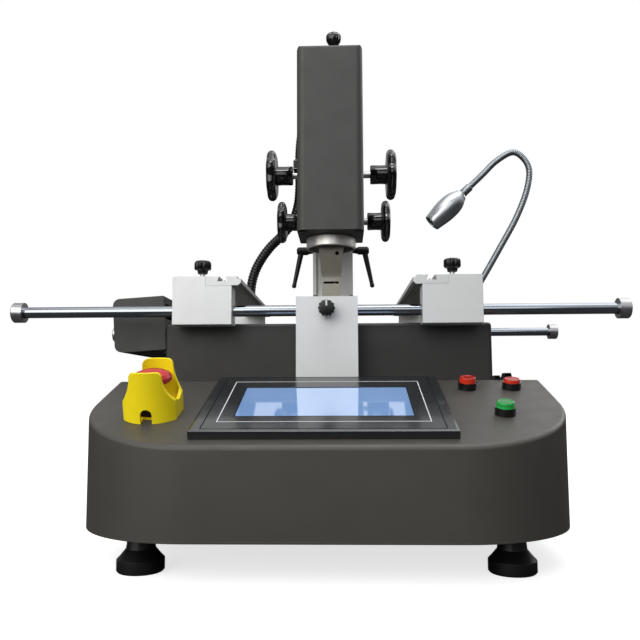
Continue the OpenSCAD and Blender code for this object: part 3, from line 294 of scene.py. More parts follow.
def heat_steel(name, colour):
    """Stainless sheet that has been hot: straw and grey tints, satin, paler at the nozzle's mouth."""
    shade = Shade(name, rough=0.42, metal=0.6)
    red, green, blue = colour
    straw = (red * 1.08, green * 1.02, blue * 0.9)
    body = shade.ramp(shade.noise(45, 4), (0.25, tint(colour, 0.82)), (0.5, colour), (0.75, straw))
    mouth_low, mouth_high = HEAD_Z - 58, HEAD_Z - 48
    mouth = shade.spread(shade.height(shade.coords), 0.8, 0.0, start=mouth_low * MM, end=mouth_high * MM)
    shade.colour(shade.mix(mouth, body, tint(colour, 1.9)))
    shade.roughness(shade.spread(shade.noise(240, 3), 0.34, 0.52))
    return shade.bumped((shade.noise(1500, 2), 0.12, 0.06))


def display_glass():
    """Backlit display behind glass: soft blue with a slow gradient and the fine cell grid."""
    shade = Shade("display_glass", rough=0.05, IOR=2.4, Emission_Strength=0.40,
                  Coat_Weight=1.0, Coat_Roughness=0.03, Coat_IOR=2.6)
    tone = shade.ramp(shade.noise(5, 2), (0.25, (0.15, 0.27, 0.52)), (0.75, (0.19, 0.33, 0.60)))
    tone = shade.mix(shade.spread(shade.noise(2400, 1), 0.0, 0.2), tone, (0.27, 0.42, 0.70))
    shade.colour(tone)
    shade.glow(tone)
    return shade.bumped((shade.noise(300, 2), 0.01, 0.02))


def lens_glass():
    """Pebbled lens of the lamp."""
    shade = Shade("lamp_lens", rough=0.06, Transmission_Weight=0.55, Coat_Weight=0.5)
    pebbles = shade.voronoi(420)
    shade.colour(shade.ramp(pebbles, (0.0, (0.95, 0.94, 0.88)), (0.6, (0.62, 0.63, 0.62))))
    return shade.bumped((pebbles, 0.3, 0.3))


LOOKS = {
    "base": powder_coat("powder_coat_base", (0.0450, 0.0418, 0.0364), 0.48),
    # Painted shade: the head and the case wear the base's powder coat, made darker here.
    "head": powder_coat("powder_coat_head_painted_shade", (0.0325, 0.0321, 0.0310), 0.50),
    "case": powder_coat("powder_coat_case_painted_shade", (0.0175, 0.0170, 0.0160), 0.50),
    "pale": powder_coat("powder_coat_pale", (0.48, 0.49, 0.48), 0.42),
    "alu": anodised("anodised_blocks", (0.57, 0.58, 0.58), 0.40, metal=0.25),
    # The under colour is painted shade for the faces of the bars that look down.
    "alu_bar": brushed_bar("anodised_bar", (0.55, 0.56, 0.56), under=(0.020, 0.020, 0.021)),
    "alu_plain": anodised("anodised_plain", (0.50, 0.51, 0.52), 0.38, metal=0.5),
    "rod": ground_steel("ground_rod", (0.27, 0.292, 0.322), 0.13),
    "steel": anodised("turned_steel", (0.40, 0.40, 0.41), 0.32, grain=0.05),
    "ring": anodised("turned_ring", (0.54, 0.53, 0.505), 0.34, metal=0.7, grain=0.05),
    "lamp": anodised("turned_lamp", (0.46, 0.48, 0.50), 0.32, grain=0.0),
    "neck": anodised("neck_steel", (0.22, 0.24, 0.255), 0.36, grain=0.0),
    "hot": heat_steel("hot_steel", (0.135, 0.128, 0.108)),
    "gloss": moulded("gloss_black", (0.003, 0.003, 0.003), 0.09, grain=0.004, shine=0.6),
    "knob": moulded("knob_black", (0.003, 0.003, 0.003), 0.26, grain=0.015, shine=0.35),
    "black": moulded("satin_black", (0.004, 0.004, 0.004), 0.40, grain=0.04, shine=0.28),
    "foot": moulded("foot_black", (0.005, 0.005, 0.006), 0.34, grain=0.04, pale=1.6, shine=0.4),
    "bezel": moulded("bezel_grey", (0.013, 0.014, 0.0155), 0.25, coat=0.3, grain=0.02, pale=1.25),
    "yellow": moulded("guard_yellow", (0.92, 0.735, 0.008), 0.40, grain=0.03, pale=1.03, shine=0.35),
    "red": moulded("mushroom_red", (0.43, 0.016, 0.020), 0.30, grain=0.03, pale=1.1, shine=0.25),
    "deep_red": moulded("mushroom_mark", (0.15, 0.006, 0.007), 0.4, grain=0.03, pale=1.2, shine=0.3),
    "cap_red": cap_with_painted_light("cap_red", (0.27, 0.008, 0.005), (0.54, 0.030, 0.010)),
    "deep_green": moulded("cap_line", (0.004, 0.06, 0.012), 0.4, grain=0.03, pale=1.2),
    "cap_green": cap_with_painted_light("cap_green", (0.006, 0.16, 0.029), (0.016, 0.40, 0.070)),
    "hose": moulded("hose_black", (0.004, 0.004, 0.004), 0.30, grain=0.02, shine=0.35),
    "tile": moulded("heater_ceramic", (0.060, 0.056, 0.050), 0.62, grain=0.2, pale=1.3),
    "pcb": moulded("board_green", (0.020, 0.11, 0.045), 0.35, grain=0.05, pale=1.4),
    # Painted shade for the panel's grooves.
    "line": moulded("groove_painted_shade", (0.004, 0.004, 0.004), 0.85, grain=0.02, pale=1.3, shine=0.1),
    "white": moulded("white_print", (0.58, 0.60, 0.62), 0.45, grain=0.02, pale=1.02),
    "display": display_glass(),
    "lens": lens_glass(),
}

# CAD nodes by look; those that a piece replaces are listed too, so that every node has a material
LOOK_NODES = {
    "base": ("base_shell", "base_plate", "rear_panel"),
    "head": ("fan_housing", "head_cover", "head_chassis"),
    "case": ("preheater_box",),
    "pale": ("column", "lift_block"),
    "alu": ("rod_posts", "left_blocks", "right_blocks"),
    "alu_bar": ("left_bar", "right_bar"),
    "alu_plain": ("reflector_tray", "fan_rotor", "slide_beam", "slide_block", "power_supply"),
    "rod": ("guide_rods",),
    "steel": ("rod_caps", "column_rails", "upper_shaft", "lower_shaft", "pickup_tube"),
    "ring": ("nozzle_ring",),
    "lamp": ("lamp_head",),
    "neck": ("gooseneck",),
    "hot": ("preheater_grille", "lower_heater", "lower_nozzle", "head_heater", "nozzle"),
    "gloss": ("button_bezels", "left_lock_knob", "right_lock_knob", "upper_wheels", "lower_wheels",
              "pickup_knob", "mains_switch"),
    "black": ("estop_base", "sensor_sockets", "lower_blower", "post_knob", "head_blower", "left_lever",
              "right_lever", "hose_gland", "power_inlet"),
    "foot": ("levelling_feet",),
    "bezel": ("hmi_panel",),
    "display": ("hmi_screen",),
    "yellow": ("estop_guard",),
    "red": ("estop_mushroom",),
    "deep_red": ("estop_plunger",),
    "cap_red": ("stop_button", "light_button"),
    "cap_green": ("start_button",),
    "tile": ("ir_heaters",),
    "pcb": ("control_board",),
}

# Edge radius in millimetres and its segments, where a node differs from the usual one
USUAL_EDGE = (0.35, 2)
EDGE = {
    "estop_guard": (1.2, 3), "levelling_feet": (1.2, 3), "estop_mushroom": (1.0, 3),
    "left_lever": (0.9, 2), "right_lever": (0.9, 2), "head_cover": (0.5, 2), "hmi_panel": (0.5, 2),
    "fan_housing": (0.5, 2), "left_blocks": (0.4, 2), "right_blocks": (0.4, 2), "nozzle": (0.4, 2),
    "nozzle_ring": (0.4, 2), "ir_heaters": (0.4, 1), "left_bar": (0.3, 2), "right_bar": (0.3, 2),
    "preheater_grille": (0.3, 1),
}
# Nodes whose edges stay as the CAD has them
SHARP_NODES = {"rod_posts", "gooseneck", "hmi_screen", "fan_rotor", "column_rails"}


# Mesh helpers
def weighted_normals(obj, weight):
    """Normals that follow the large faces."""
    normals = obj.modifiers.new("normals", "WEIGHTED_NORMAL")
    normals.weight = weight
    normals.keep_sharp = True


def round_edges(obj, width, segments):
    """Weld the faces of a piece together and round its sharp edges."""
    weld = obj.modifiers.new("weld", "WELD")
    weld.merge_threshold = 2e-6
    bevel = obj.modifiers.new("round", "BEVEL")
    bevel.width = width * MM
    bevel.segments = segments
    bevel.limit_method = "ANGLE"
    bevel.angle_limit = math.radians(32)
    bevel.harden_normals = True
    bevel.use_clamp_overlap = True
    bevel.miter_outer = "MITER_ARC"
    weighted_normals(obj, 100)


def sharp(obj, angle=35):
    """Smooth shading that keeps edges sharper than an angle."""
    obj.data.shade_smooth()
    obj.data.set_sharp_from_angle(angle=math.radians(angle))


def even(obj, angle):
    """Smooth shading in which the large flat faces stay flat."""
    sharp(obj, angle)
    weighted_normals(obj, 90)


def piece(name, bm, look, body, smooth=True, matrix=None):
    """Turn a bmesh in millimetres into a piece that rides on a body."""
    if matrix is not None:
        bmesh.ops.transform(bm, matrix=matrix, verts=bm.verts)
    bmesh.ops.scale(bm, vec=(MM, MM, MM), verts=bm.verts)
    bmesh.ops.recalc_face_normals(bm, faces=bm.faces)
    for face in bm.faces:
        face.smooth = smooth
    mesh = bpy.data.meshes.new(name)
    bm.to_mesh(mesh)
    bm.free()
    obj = bpy.data.objects.new(name, mesh)
    scene.collection.objects.link(obj)
    if look:
        mesh.materials.append(LOOKS[look])
    if body:
        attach(obj, body)
    return obj


def at(x, y, z, axis=None):
    """Matrix that puts a piece at a point in millimetres, and its own Z along an axis if one is given."""
    place = Matrix.Translation((x, y, z))
    if axis is None:
        return place
    return place @ Vector(axis).to_track_quat("Z", "Y").to_matrix().to_4x4()


def on_deck(x, s):
    """Matrix of a place on the sloped deck: across, and up the slope from the front edge."""
    place = (x, FRONT_Y + s * math.cos(TILT), FRONT_Z + s * math.sin(TILT))
    return Matrix.Translation(place) @ Matrix.Rotation(TILT, 4, "X")


def between(points, place):
    """Value at a place on straight runs through (place, value) points."""
    for (start, low), (end, high) in zip(points, points[1:]):
        if place <= end + 1e-6:
            return low + (high - low) * (place - start) / (end - start)
    return points[-1][1]


def skin(bm, rings, closed=False):
    """Faces from each ring of points to the next; a ring of one point is a tip."""
    pairs = list(zip(rings, rings[1:]))
    if closed:
        pairs.append((rings[-1], rings[0]))
    for a, b in pairs:
        sides = max(len(a), len(b))
        for k in range(sides):
            after = (k + 1) % sides
            corners = (a[k % len(a)], a[after % len(a)], b[after % len(b)], b[k % len(b)])
            bm.faces.new(list(dict.fromkeys(corners)))


def fluted(bm, profile, flutes, depth, sides, matrix=None, closed=False):
    """Turn (radius, height, share) points round Z; the share is that of the flutes' full depth."""
    narrowing = 1.4
    rings = []
    for radius, z, share in profile:
        if radius < 1e-6:
            rings.append([bm.verts.new((0, 0, z))])
            continue
        ring = []
        for k in range(sides):
            angle = 2 * math.pi * k / sides
            wave = radius * (1 - depth * share * (0.5 + 0.5 * math.cos(flutes * angle)) ** narrowing)
            ring.append(bm.verts.new((wave * math.cos(angle), wave * math.sin(angle), z)))
        rings.append(ring)
    skin(bm, rings, closed)
    if matrix is not None:
        bmesh.ops.transform(bm, matrix=matrix, verts=sum(rings, []))
    return rings


def lathe(bm, profile, sides=48, matrix=None, closed=False):
    """Turn (radius, height) points round Z."""
    return fluted(bm, [(radius, z, 0) for radius, z in profile], 0, 0.0, sides, matrix, closed)


def prism(bm, outline, z0, z1, matrix=None):
    """Closed prism over an outline of (x, y) points."""
    low, high = [[bm.verts.new((x, y, z)) for x, y in outline] for z in (z0, z1)]
    bm.faces.new(low[::-1])
    bm.faces.new(high)
    skin(bm, [low, high])
    if matrix is not None:
        bmesh.ops.transform(bm, matrix=matrix, verts=low + high)


def box(bm, x, y, z):
    """Closed box over three (low, high) ranges."""
    prism(bm, [(x[0], y[0]), (x[1], y[0]), (x[1], y[1]), (x[0], y[1])], *z)


def rounded(x, y, radius, z, steps=6):
    """Rectangle with round corners at a height."""
    left, right, front, back = x[0] + radius, x[1] - radius, y[0] + radius, y[1] - radius
    out = []
    for cx, cy, turn in ((right, front, -0.5), (right, back, 0.0), (left, back, 0.5), (left, front, 1.0)):
        for k in range(steps + 1):
            angle = math.pi * (turn + 0.5 * k / steps)
            out.append((cx + radius * math.cos(angle), cy + radius * math.sin(angle), z))
    return out


def hexagon(radius, turn=0.0):
    """Corners of a hexagon as (x, y) points."""
    return [(radius * math.cos(math.pi / 3 * k + turn), radius * math.sin(math.pi / 3 * k + turn))
            for k in range(6)]


def curve_through(points, steps=60):
    """Fine points on a centripetal Catmull-Rom curve through the given ones."""
    ends = [points[0] * 2 - points[1]] + points + [points[-1] * 2 - points[-2]]
    fine = []
    for a, b, c, d in zip(ends, ends[1:], ends[2:], ends[3:]):
        t1 = (b - a).length ** 0.5
        t2 = t1 + (c - b).length ** 0.5
        t3 = t2 + (d - c).length ** 0.5
        for k in range(steps):
            t = t1 + (t2 - t1) * k / steps
            ab = a.lerp(b, t / t1)
            bc = b.lerp(c, (t - t1) / (t2 - t1))
            cd = c.lerp(d, (t - t2) / (t3 - t2))
            early = ab.lerp(bc, t / t2)
            late = bc.lerp(cd, (t - t1) / (t3 - t1))
            fine.append(early.lerp(late, (t - t1) / (t2 - t1)))
    return fine + [points[-1]]


def smooth_path(points, count):
    """Evenly spaced points on a smooth curve through the given ones, and its length."""
    fine = curve_through([Vector(p) for p in points])
    reached = [0.0]
    for p, q in zip(fine, fine[1:]):
        reached.append(reached[-1] + (q - p).length)
    out = []
    j = 0
    for k in range(count + 1):
        want = reached[-1] * k / count
        while j < len(fine) - 2 and reached[j + 1] < want:
            j += 1
        share = (want - reached[j]) / (reached[j + 1] - reached[j])
        out.append(fine[j].lerp(fine[j + 1], min(share, 1.0)))
    return out, reached[-1]


def sweep(bm, path, radius, sides=20):
    """Closed tube along a path; radius is a function of the distance and the angle."""
    rings = []
    distance = 0.0
    side = (path[1] - path[0]).normalized().orthogonal().normalized()
    for k, place in enumerate(path):
        ahead = (path[min(k + 1, len(path) - 1)] - path[max(k - 1, 0)]).normalized()
        distance += (place - path[max(k - 1, 0)]).length
        side = (side - ahead * side.dot(ahead)).normalized()
        other = ahead.cross(side)
        ring = []
        for j in range(sides):
            angle = 2 * math.pi * j / sides
            r = radius(distance, angle)
            ring.append(bm.verts.new(place + side * (r * math.cos(angle)) + other * (r * math.sin(angle))))
        rings.append(ring)
    skin(bm, rings)
    bm.faces.new(rings[0][::-1])
    bm.faces.new(rings[-1])


def cad_looks():
    """Give every CAD node its material, and round the edges of all but the sharp ones."""
    for look, names in LOOK_NODES.items():
        for name in names:
            materials = NODES[name].data.materials
            materials.clear()
            materials.append(LOOKS[look])
            if name not in SHARP_NODES:
                round_edges(NODES[name], *EDGE.get(name, USUAL_EDGE))


# Camera and cords
def camera():
    """Camera fitted to the photograph: turned to the left, tilted up, with a slight roll."""
    yaw, pitch, roll = math.radians(1.87), math.radians(5.65), math.radians(-0.24)
    place = Vector((17.53, -872.37, 157.26)) * MM
    ahead = Vector((-math.sin(yaw) * math.cos(pitch), math.cos(yaw) * math.cos(pitch), math.sin(pitch)))
    level = Vector((math.cos(yaw), math.sin(yaw), 0))
    upright = level.cross(ahead)
    right = level * math.cos(roll) + upright * math.sin(roll)
    up = upright * math.cos(roll) - level * math.sin(roll)
    cam = bpy.data.objects.new("camera", bpy.data.cameras.new("camera"))
    scene.collection.objects.link(cam)
    cam.matrix_world = Matrix.Translation(place) @ Matrix((right, up, -ahead)).transposed().to_4x4()
    cam.data.lens = 40.33
    cam.data.sensor_width = 36.0
    cam.data.clip_start = 0.01
    cam.data.clip_end = 60
    scene.camera = cam


def hose(name, points, rings):
    """Corrugated hose along a route, from start to end."""
    rib_h, rib_pitch, path_step = 0.36, 4.6, 12
    path, length = smooth_path(points, rings)
    bm = bmesh.new()
    sweep(bm, path, lambda distance, _: HOSE_R + rib_h * math.sin(2 * math.pi * distance / rib_pitch))
    obj = piece(name, bm, "hose", None)
    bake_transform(obj)


def hoses():
    """Hose from the head's spigot round a quarter bend to the clip, and from the clip to the base."""
    bend_r, bend_steps, aside = 52.0, 6, 13.0
    upper = [SPIGOT, SPIGOT + Vector((-1, 16, 0)), SPIGOT + Vector((-7, 36, 0))]
    for k in range(bend_steps + 1):
        angle = math.pi / 2 * k / bend_steps
        upper.append((CLIP.x + aside * (1 - k / bend_steps) ** 2, CLIP.y - bend_r + bend_r * math.sin(angle),
                      SPIGOT.z - bend_r + bend_r * math.cos(angle)))
    upper.append(CLIP - Vector((0, 0, 6)))
    hose("upper_hose", upper,
         rings=282)
    lower = [CLIP + Vector((0, 0, -8)), CLIP + Vector((0, 1, -40)), (-52, 226, 446), (-62, 232, 420),
             (-80, 236, 399), (-96, 239, 384), (-110, 241, 366), (-121, 242, 345), (-127, 242, 320),
             (-127.5, 242, 280), (-127, 242, 230), GLAND]
    hose("lower_hose", lower,
         rings=596)


# Sheet covers
def base_plan():
    """Outline of the base from the rear left round the front, as (x, y, outward x, outward y)."""
    half_w, back, steps = BASE_W / 2, REAR_Y - 2, 40
    plan = [(-half_w, back, -1, 0), (-half_w, DECK_BACK_Y, -1, 0)]
    for side in SIDES:
        for k in range(steps + 1):
            angle = math.pi * (1.25 + 0.25 * side + 0.5 * k / steps)
            out_x, out_y = math.cos(angle), math.sin(angle)
            plan.append((side * (half_w - CORNER_R) + CORNER_R * out_x,
                         FRONT_Y + CORNER_R + CORNER_R * out_y, out_x, out_y))
    return plan + [(half_w, DECK_BACK_Y, 1, 0), (half_w, back, 1, 0)]


def base_housing():
    """Sheet cover with a turned-in foot, round front corners and a rounded rim."""
    plan = base_plan()
    foot_z, foot_in, rim_r, rim_steps = PLATE_Z + 2, 2.0, 3.8, 10

    def row(inset, height):
        places = [(x - out_x * inset, y - out_y * inset) for x, y, out_x, out_y in plan]
        return [bm.verts.new((x, y, height(y))) for x, y in places]

    def rim(drop):
        return lambda y: min(TOP_Z, FRONT_Z + (y - FRONT_Y) * math.tan(TILT)) - drop

    bm = bmesh.new()
    rows = [row(inset, lambda y: foot_z) for inset in (foot_in, 0.0)]
    for k in range(rim_steps + 1):
        angle = math.pi / 2 * k / rim_steps
        rows.append(row(rim_r * (1 - math.cos(angle)), rim(rim_r * (1 - math.sin(angle)))))
    for low, high in zip(rows, rows[1:]):
        for k in range(len(plan) - 1):
            bm.faces.new((low[k], low[k + 1], high[k + 1], high[k]))
    inner = rows[-1]
    bm.faces.new(inner[1:-1])
    bm.faces.new((inner[0], inner[1], inner[-2], inner[-1]))
    obj = piece("base_housing", bm, "base", "base")
    even(obj, 14)
    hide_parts("base_shell")


def preheater_case():
    """Open sheet box with round upright and top edges and a return flange round its mouth."""
    half_w, y0, y1, top = PREHEATER_W / 2, FRONT_ROD_Y + 18, REAR_ROD_Y - 18, TOP_Z + PREHEATER_H
    edge_r, edge_steps, inner_r, wall, flange = 4.0, 6, 0.4, 1.5, 6.0
    insets = [(0, TOP_Z), (0, top - edge_r)]
    for k in range(1, edge_steps + 1):
        angle = math.pi / 2 * k / edge_steps
        insets.append((edge_r * (1 - math.cos(angle)), top - edge_r * (1 - math.sin(angle))))
    insets += [(flange, top), (flange, top - wall), (wall, top - wall - 1), (wall, TOP_Z + wall)]
    bm = bmesh.new()
    rings = []
    for inset, z in insets:
        outline = rounded((inset - half_w, half_w - inset), (y0 + inset, y1 - inset),
                          max(edge_r - inset, inner_r), z)
        rings.append([bm.verts.new(p) for p in outline])
    skin(bm, rings)
    bm.faces.new(rings[-1])
    bm.faces.new(rings[0][::-1])
    obj = piece("preheater_case", bm, "case", "base")
    even(obj, 20)
    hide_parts("preheater_box")


def hose_clip():
    """Black clip that holds the hose on the lift block."""
    left, right, front, back, below, above = 9.3, 10.6, 20.4, 9.4, 14.4, 0.4
    bm = bmesh.new()
    box(bm, (CLIP.x - left, CLIP.x + right), (CLIP.y - front, CLIP.y + back),
        (CLIP.z - below, CLIP.z + above))
    round_edges(piece("hose_clip", bm, "black", "lift", smooth=False), 2.5, 3)


# Fasteners
def screw(bm, matrix, head_r=2.6, head_h=1.6, socket=1.3, depth=1.2):
    """Button head with a hexagon socket; the head's seat is at Z = 0."""
    corners, steps = 6, 4
    sides = corners * steps
    side = [(head_r, 0), (head_r, head_h * 0.45), (head_r * 0.86, head_h * 0.8), (head_r * 0.66, head_h)]
    rings = lathe(bm, side, sides)
    rim = rings[-1]
    mouth, seat = [[bm.verts.new((x, y, z)) for x, y in hexagon(socket)]
                   for z in (head_h, head_h - depth)]
    for k in range(corners):
        after = (k + 1) % corners
        bm.faces.new([rim[(steps * k + j) % sides] for j in range(steps + 1)] + [mouth[after], mouth[k]])
        bm.faces.new((mouth[k], mouth[after], seat[after], seat[k]))
    bm.faces.new(seat)
    bmesh.ops.transform(bm, matrix=matrix, verts=sum(rings, []) + mouth + seat)


def screws(name, body, places, look="steel", slot="steel", **size):
    """One piece of several screws, each at (x, y, z, axis)."""
    bm = bmesh.new()
    for place in places:
        screw(bm, at(*place), **size)
    sharp(piece(name, bm, look, body))


def fasteners():
    """Screws of the column's flange, rear panel, bottom plate, clamp bars, head cover, lift and slide."""
    black = {"look": "black", "slot": "black_plastic"}
    screws("column_screws", "base",
           [(HEAD_X + 37 * side, REAR_ROD_Y + y, TOP_Z + FLANGE_T, UP) for side in SIDES for y in (24, 60)],
           head_r=4.6, head_h=3.4, socket=2.4, depth=2.2)
    screws("rear_screws", "base",
           [(x, REAR_Y, z, BACK) for x in (-216, -72, 72, 216) for z in (46, TOP_Z - 8)], **black)
    screws("plate_screws", "base",
           [(206 * side, y, PLATE_Z, DOWN) for side in SIDES for y in (-120, 60, 270)]
           + [(70 * side, -272, PLATE_Z, DOWN) for side in SIDES], **black)
    for side, hand in zip(SIDES, ("left", "right")):
        screws(hand + "_bar_screws", hand + "_carriage",
               [(SLOT_X * side, y + d, SLOT_Z, UP) for y in (FRONT_ROD_Y, REAR_ROD_Y) for d in (-7, 7)],
               head_r=3.0, head_h=1.8, socket=1.5, depth=1.4)
    screws("cover_screws", "head",
           [(HEAD_X + HEAD_W / 2 * side, HEAD_Y1 - 6, HEAD_Z + z, (side, 0, 0))
            for side in SIDES for z in (14, 120, 226)],
           head_r=2.4, head_h=1.3, socket=1.1, depth=0.9)
    screws("lift_screws", "lift",
           [(HEAD_X + 26 * side, REAR_ROD_Y - 38, HEAD_Z + z, FRONT) for side in SIDES for z in (96, 140)],
           head_r=4.0, head_h=3.0, socket=2.1, depth=1.8)
    screws("slide_screws", "head",
           [(HEAD_X + 34 * side, HEAD_Y1 + y, HEAD_Z + z, (side, 0, 0))
            for side in SIDES for y in (8, 41) for z in (66, 84)],
           head_r=2.6, head_h=1.8, socket=1.3, depth=1.2)


def foot_nuts():
    """Hexagon lock nuts of the four levelling feet."""
    outline = hexagon(12.6, turn=0.4)
    low, high = PLATE_Z - 7.4, PLATE_Z - 0.2
    bm = bmesh.new()
    for x in (-FOOT_X, FOOT_X):
        for y in (FRONT_Y + FOOT_IN, REAR_Y - FOOT_IN):
            prism(bm, outline, low, high, at(x, y, 0))
    round_edges(piece("foot_nuts", bm, "alu", "base", smooth=False), 0.6, 2)


# Marks on the panel and the controls
def frame_strip(bm, half_w, s0, s1, low, thickness):
    """Rectangular line over the deck, from s0 to s1 up the slope; low is the height of its underside."""
    line_w = 0.9
    inner_w = half_w - line_w
    outer = [(-half_w, s0), (half_w, s0), (half_w, s1), (-half_w, s1)]
    inner = [(-inner_w, s0 + line_w), (inner_w, s0 + line_w), (inner_w, s1 - line_w), (-inner_w, s1 - line_w)]
    high = low + thickness
    rows = ((outer, low), (outer, high), (inner, high), (inner, low))
    skin(bm, [[bm.verts.new((x, y, z)) for x, y in outline] for outline, z in rows], closed=True)


def panel_lines():
    """White line round the display, and painted shade: thin black strips on the bezel's face for its groove
    and for the groove at the display's edge.
    """
    line_half_w, line_start, line_end, line_t = 92.5, PANEL_S + 21, PANEL_S + 143, 0.12
    bezel_in_x, bezel_in_s = 9.6, 3.4
    display_half_w, display_start, display_end = 79.6, PANEL_S + 35.4, PANEL_S + 123.6
    groove_low, groove_t = PANEL_H - 0.02, 0.1
    bm = bmesh.new()
    frame_strip(bm, line_half_w, line_start, line_end, PANEL_H, line_t)
    piece("panel_line", bm, "white", "base", smooth=False, matrix=on_deck(0, 0))
    # Painted shade: flat black strips stand for the shade in the grooves.
    bm = bmesh.new()
    frame_strip(bm, PANEL_W / 2 - bezel_in_x, PANEL_S + bezel_in_s, PANEL_S + PANEL_L - bezel_in_s,
                groove_low, groove_t)
    frame_strip(bm, display_half_w, display_start, display_end, groove_low, groove_t)
    piece("panel_groove_painted_shade", bm, "line", "base", smooth=False, matrix=on_deck(0, 0))


def twist_arrows():
    """Two curved arrows on the mushroom's crown, which show the way to twist it."""
    crown = [(0.0, 42.06), (10.8, 41.06), (16.0, 39.06)]
    middle, first, length, proud = 11.4, 0.35, 1.75, 0.25
    half_line, half_head, half_tip = 1.0, 2.5, 0.02
    steps, head_from, head_steps = 18, 13, 5.5
    bm = bmesh.new()
    for turn in (first, math.pi + first):
        rows = []
        for k in range(steps + 1):
            angle = turn + length * k / steps
            half = half_line if k < head_from else half_head * (steps - k) / head_steps
            rows.append([bm.verts.new((r * math.cos(angle), r * math.sin(angle), between(crown, r) + proud))
                         for r in (middle - half, middle + max(half, half_tip))])
        for a, b in zip(rows, rows[1:]):
            bm.faces.new((a[0], a[1], b[1], b[0]))
    obj = piece("twist_arrows", bm, "deep_red", "estop_head", matrix=on_deck(ESTOP_X, ESTOP_S))
    thick = obj.modifiers.new("thick", "SOLIDIFY")
    thick.thickness = 0.4 * MM
    thick.offset = -1


def start_cap_line():
    """Dark ring round the green cap."""
    ring_r, line_r, line_z, steps = 8.08, 0.3, 10.0, 8
    section = []
    for k in range(steps):
        angle = 2 * math.pi * k / steps
        section.append((ring_r + line_r * math.cos(angle), line_z + line_r * math.sin(angle)))
    bm = bmesh.new()
    lathe(bm, section, closed=True)
    piece("start_cap_line", bm, "deep_green", "start_cap", matrix=on_deck(START_X, START_S))


# Knobs and hand wheels
def grip(name, profile, flutes, depth, matrix, look, body, node_name):
    """Fluted grip that takes the place of a knob."""
    flute_steps = 12
    bm = bmesh.new()
    fluted(bm, profile, flutes, depth, flutes * flute_steps, matrix)
    obj = piece(name, bm, look, body)
    sharp(obj, 40)
    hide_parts(node_name)


def post_lock_grip():
    """Knob in front of the centre post, with a white mark on its face."""
    face = 29.5
    profile = [(0, 6.3, 0), (2.5, 6.3, 0), (2.5, 13.4, 0), (4.9, 13.5, 0), (4.9, 18.6, 0), (7.8, 19.2, 0.5),
               (9.0, 19.8, 1), (9.0, 27.6, 1), (8.7, 28.7, 1), (8.0, 29.3, 0.6),
               (6.6, face, 0.1), (0, face, 0)]
    matrix = at(0, FRONT_ROD_Y, ROD_Z, FRONT) @ Matrix.Rotation(math.pi / 12, 4, "Z")
    grip("post_lock_grip", profile, 12, 0.10, matrix, "knob", "post_lock", "post_knob")
    face_y = FRONT_ROD_Y - face
    # White mark on the knob's face: a thin box just proud of it.
    half_w, proud, sunk, inner, outer = 0.9, 0.25, 0.3, 2.0, 8.2
    bm = bmesh.new()
    box(bm, (-half_w, half_w), (face_y - proud, face_y + sunk), (ROD_Z + inner, ROD_Z + outer))
    piece("knob_white_mark", bm, "white", "post_lock", smooth=False)


def lock_grips():
    """Lock knobs on the two front blocks, each with a steel collar under it."""
    collar = [(2.55, -1.5), (2.9, -1.0), (2.9, 0.6), (2.6, 1.0), (2.6, 4.6)]
    profile = [(0, 6.3, 0), (2.5, 6.3, 0), (2.5, 41.0, 0), (4.7, 41.1, 0), (5.3, 41.7, 0), (5.6, 43.0, 0),
               (5.8, 44.6, 0), (6.8, 45.4, 0.2), (8.6, 45.9, 0.8), (9.3, 46.9, 1), (9.3, 52.4, 1),
               (9.1, 53.7, 1), (8.4, 54.8, 0.8), (7.2, 55.4, 0.5), (5.0, 55.7, 0.1), (0, 55.7, 0)]
    for side, body in zip(SIDES, ("left_lock", "right_lock")):
        bm = bmesh.new()
        lathe(bm, collar, 24, at(side * LOCK_X, FRONT_ROD_Y, BLOCK_TOP_Z + 0.2))
        piece(body + "_collar", bm, "steel", body)
        grip(body + "_grip", profile, 9, 0.14, at(side * LOCK_X, FRONT_ROD_Y, ROD_Z), "knob", body,
             body + "_knob")


def pickup_grip():
    """Pear-shaped knob of the pick-up tube on top of the head."""
    profile = [(2.6, 0, 0), (4.4, 0.3, 0), (6.2, 2.2, 0.2), (8.4, 5.0, 0.5), (10.0, 8.0, 1), (10.8, 11.0, 1),
               (10.7, 13.8, 1), (9.9, 16.2, 1), (8.4, 17.9, 0.8), (6.6, 18.7, 0.4),
               (4.6, 19.0, 0), (0, 19.1, 0)]
    grip("pickup_grip_cap", profile, 10, 0.09, at(PICKUP_X, NOZZLE_Y, PICKUP_Z), "gloss", "pickup_grip",
         "pickup_knob")


def hand_wheel(bm, wheel_d, hub_d, hub_l, rim_t, matrix):
    """Lobed wheel with a full round rim on a hub; Z = 0 is the hub's end."""
    rim, hub_r, face = wheel_d / 2, hub_d / 2, hub_l + rim_t
    shaft_r, rim_depth, rim_steps = 5.05, 7.5, 12
    lobes, lobe_depth, lobe_steps = 7, 0.105, 14
    profile = [(shaft_r, 0.0), (hub_r - 1.0, 0.0), (hub_r, 1.0), (hub_r - 0.4, hub_l * 0.6),
               (hub_r, hub_l - 0.2), (rim * 0.62, hub_l + 0.6)]
    for k in range(rim_steps + 1):
        angle = math.pi * k / rim_steps
        profile.append((rim - rim_depth * (1 - math.sin(angle)), hub_l + rim_t / 2 * (1 - math.cos(angle))))
    profile += [(rim * 0.58, face - 0.3), (rim * 0.50, face - 2.6), (rim * 0.30, face - 3.0),
                (rim * 0.24, face - 2.2), (0.0, face - 2.0)]
    shares = [max(0.0, (radius - rim * 0.6) / (rim * 0.4)) for radius, _ in profile]
    points = [(*point, share) for point, share in zip(profile, shares)]
    fluted(bm, points, lobes, lobe_depth, lobes * lobe_steps, matrix)


def hand_wheels(name, body, node_name, places, y, z, **size):
    """Pair of wheels on a cross shaft, one at each place along X."""
    bm = bmesh.new()
    for side, x in zip(SIDES, places):
        hand_wheel(bm, matrix=at(x, y, z) @ Matrix.Rotation(side * math.pi / 2, 4, "Y"), **size)
    obj = piece(name, bm, "gloss", body)
    sharp(obj, 50)
    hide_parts(node_name)


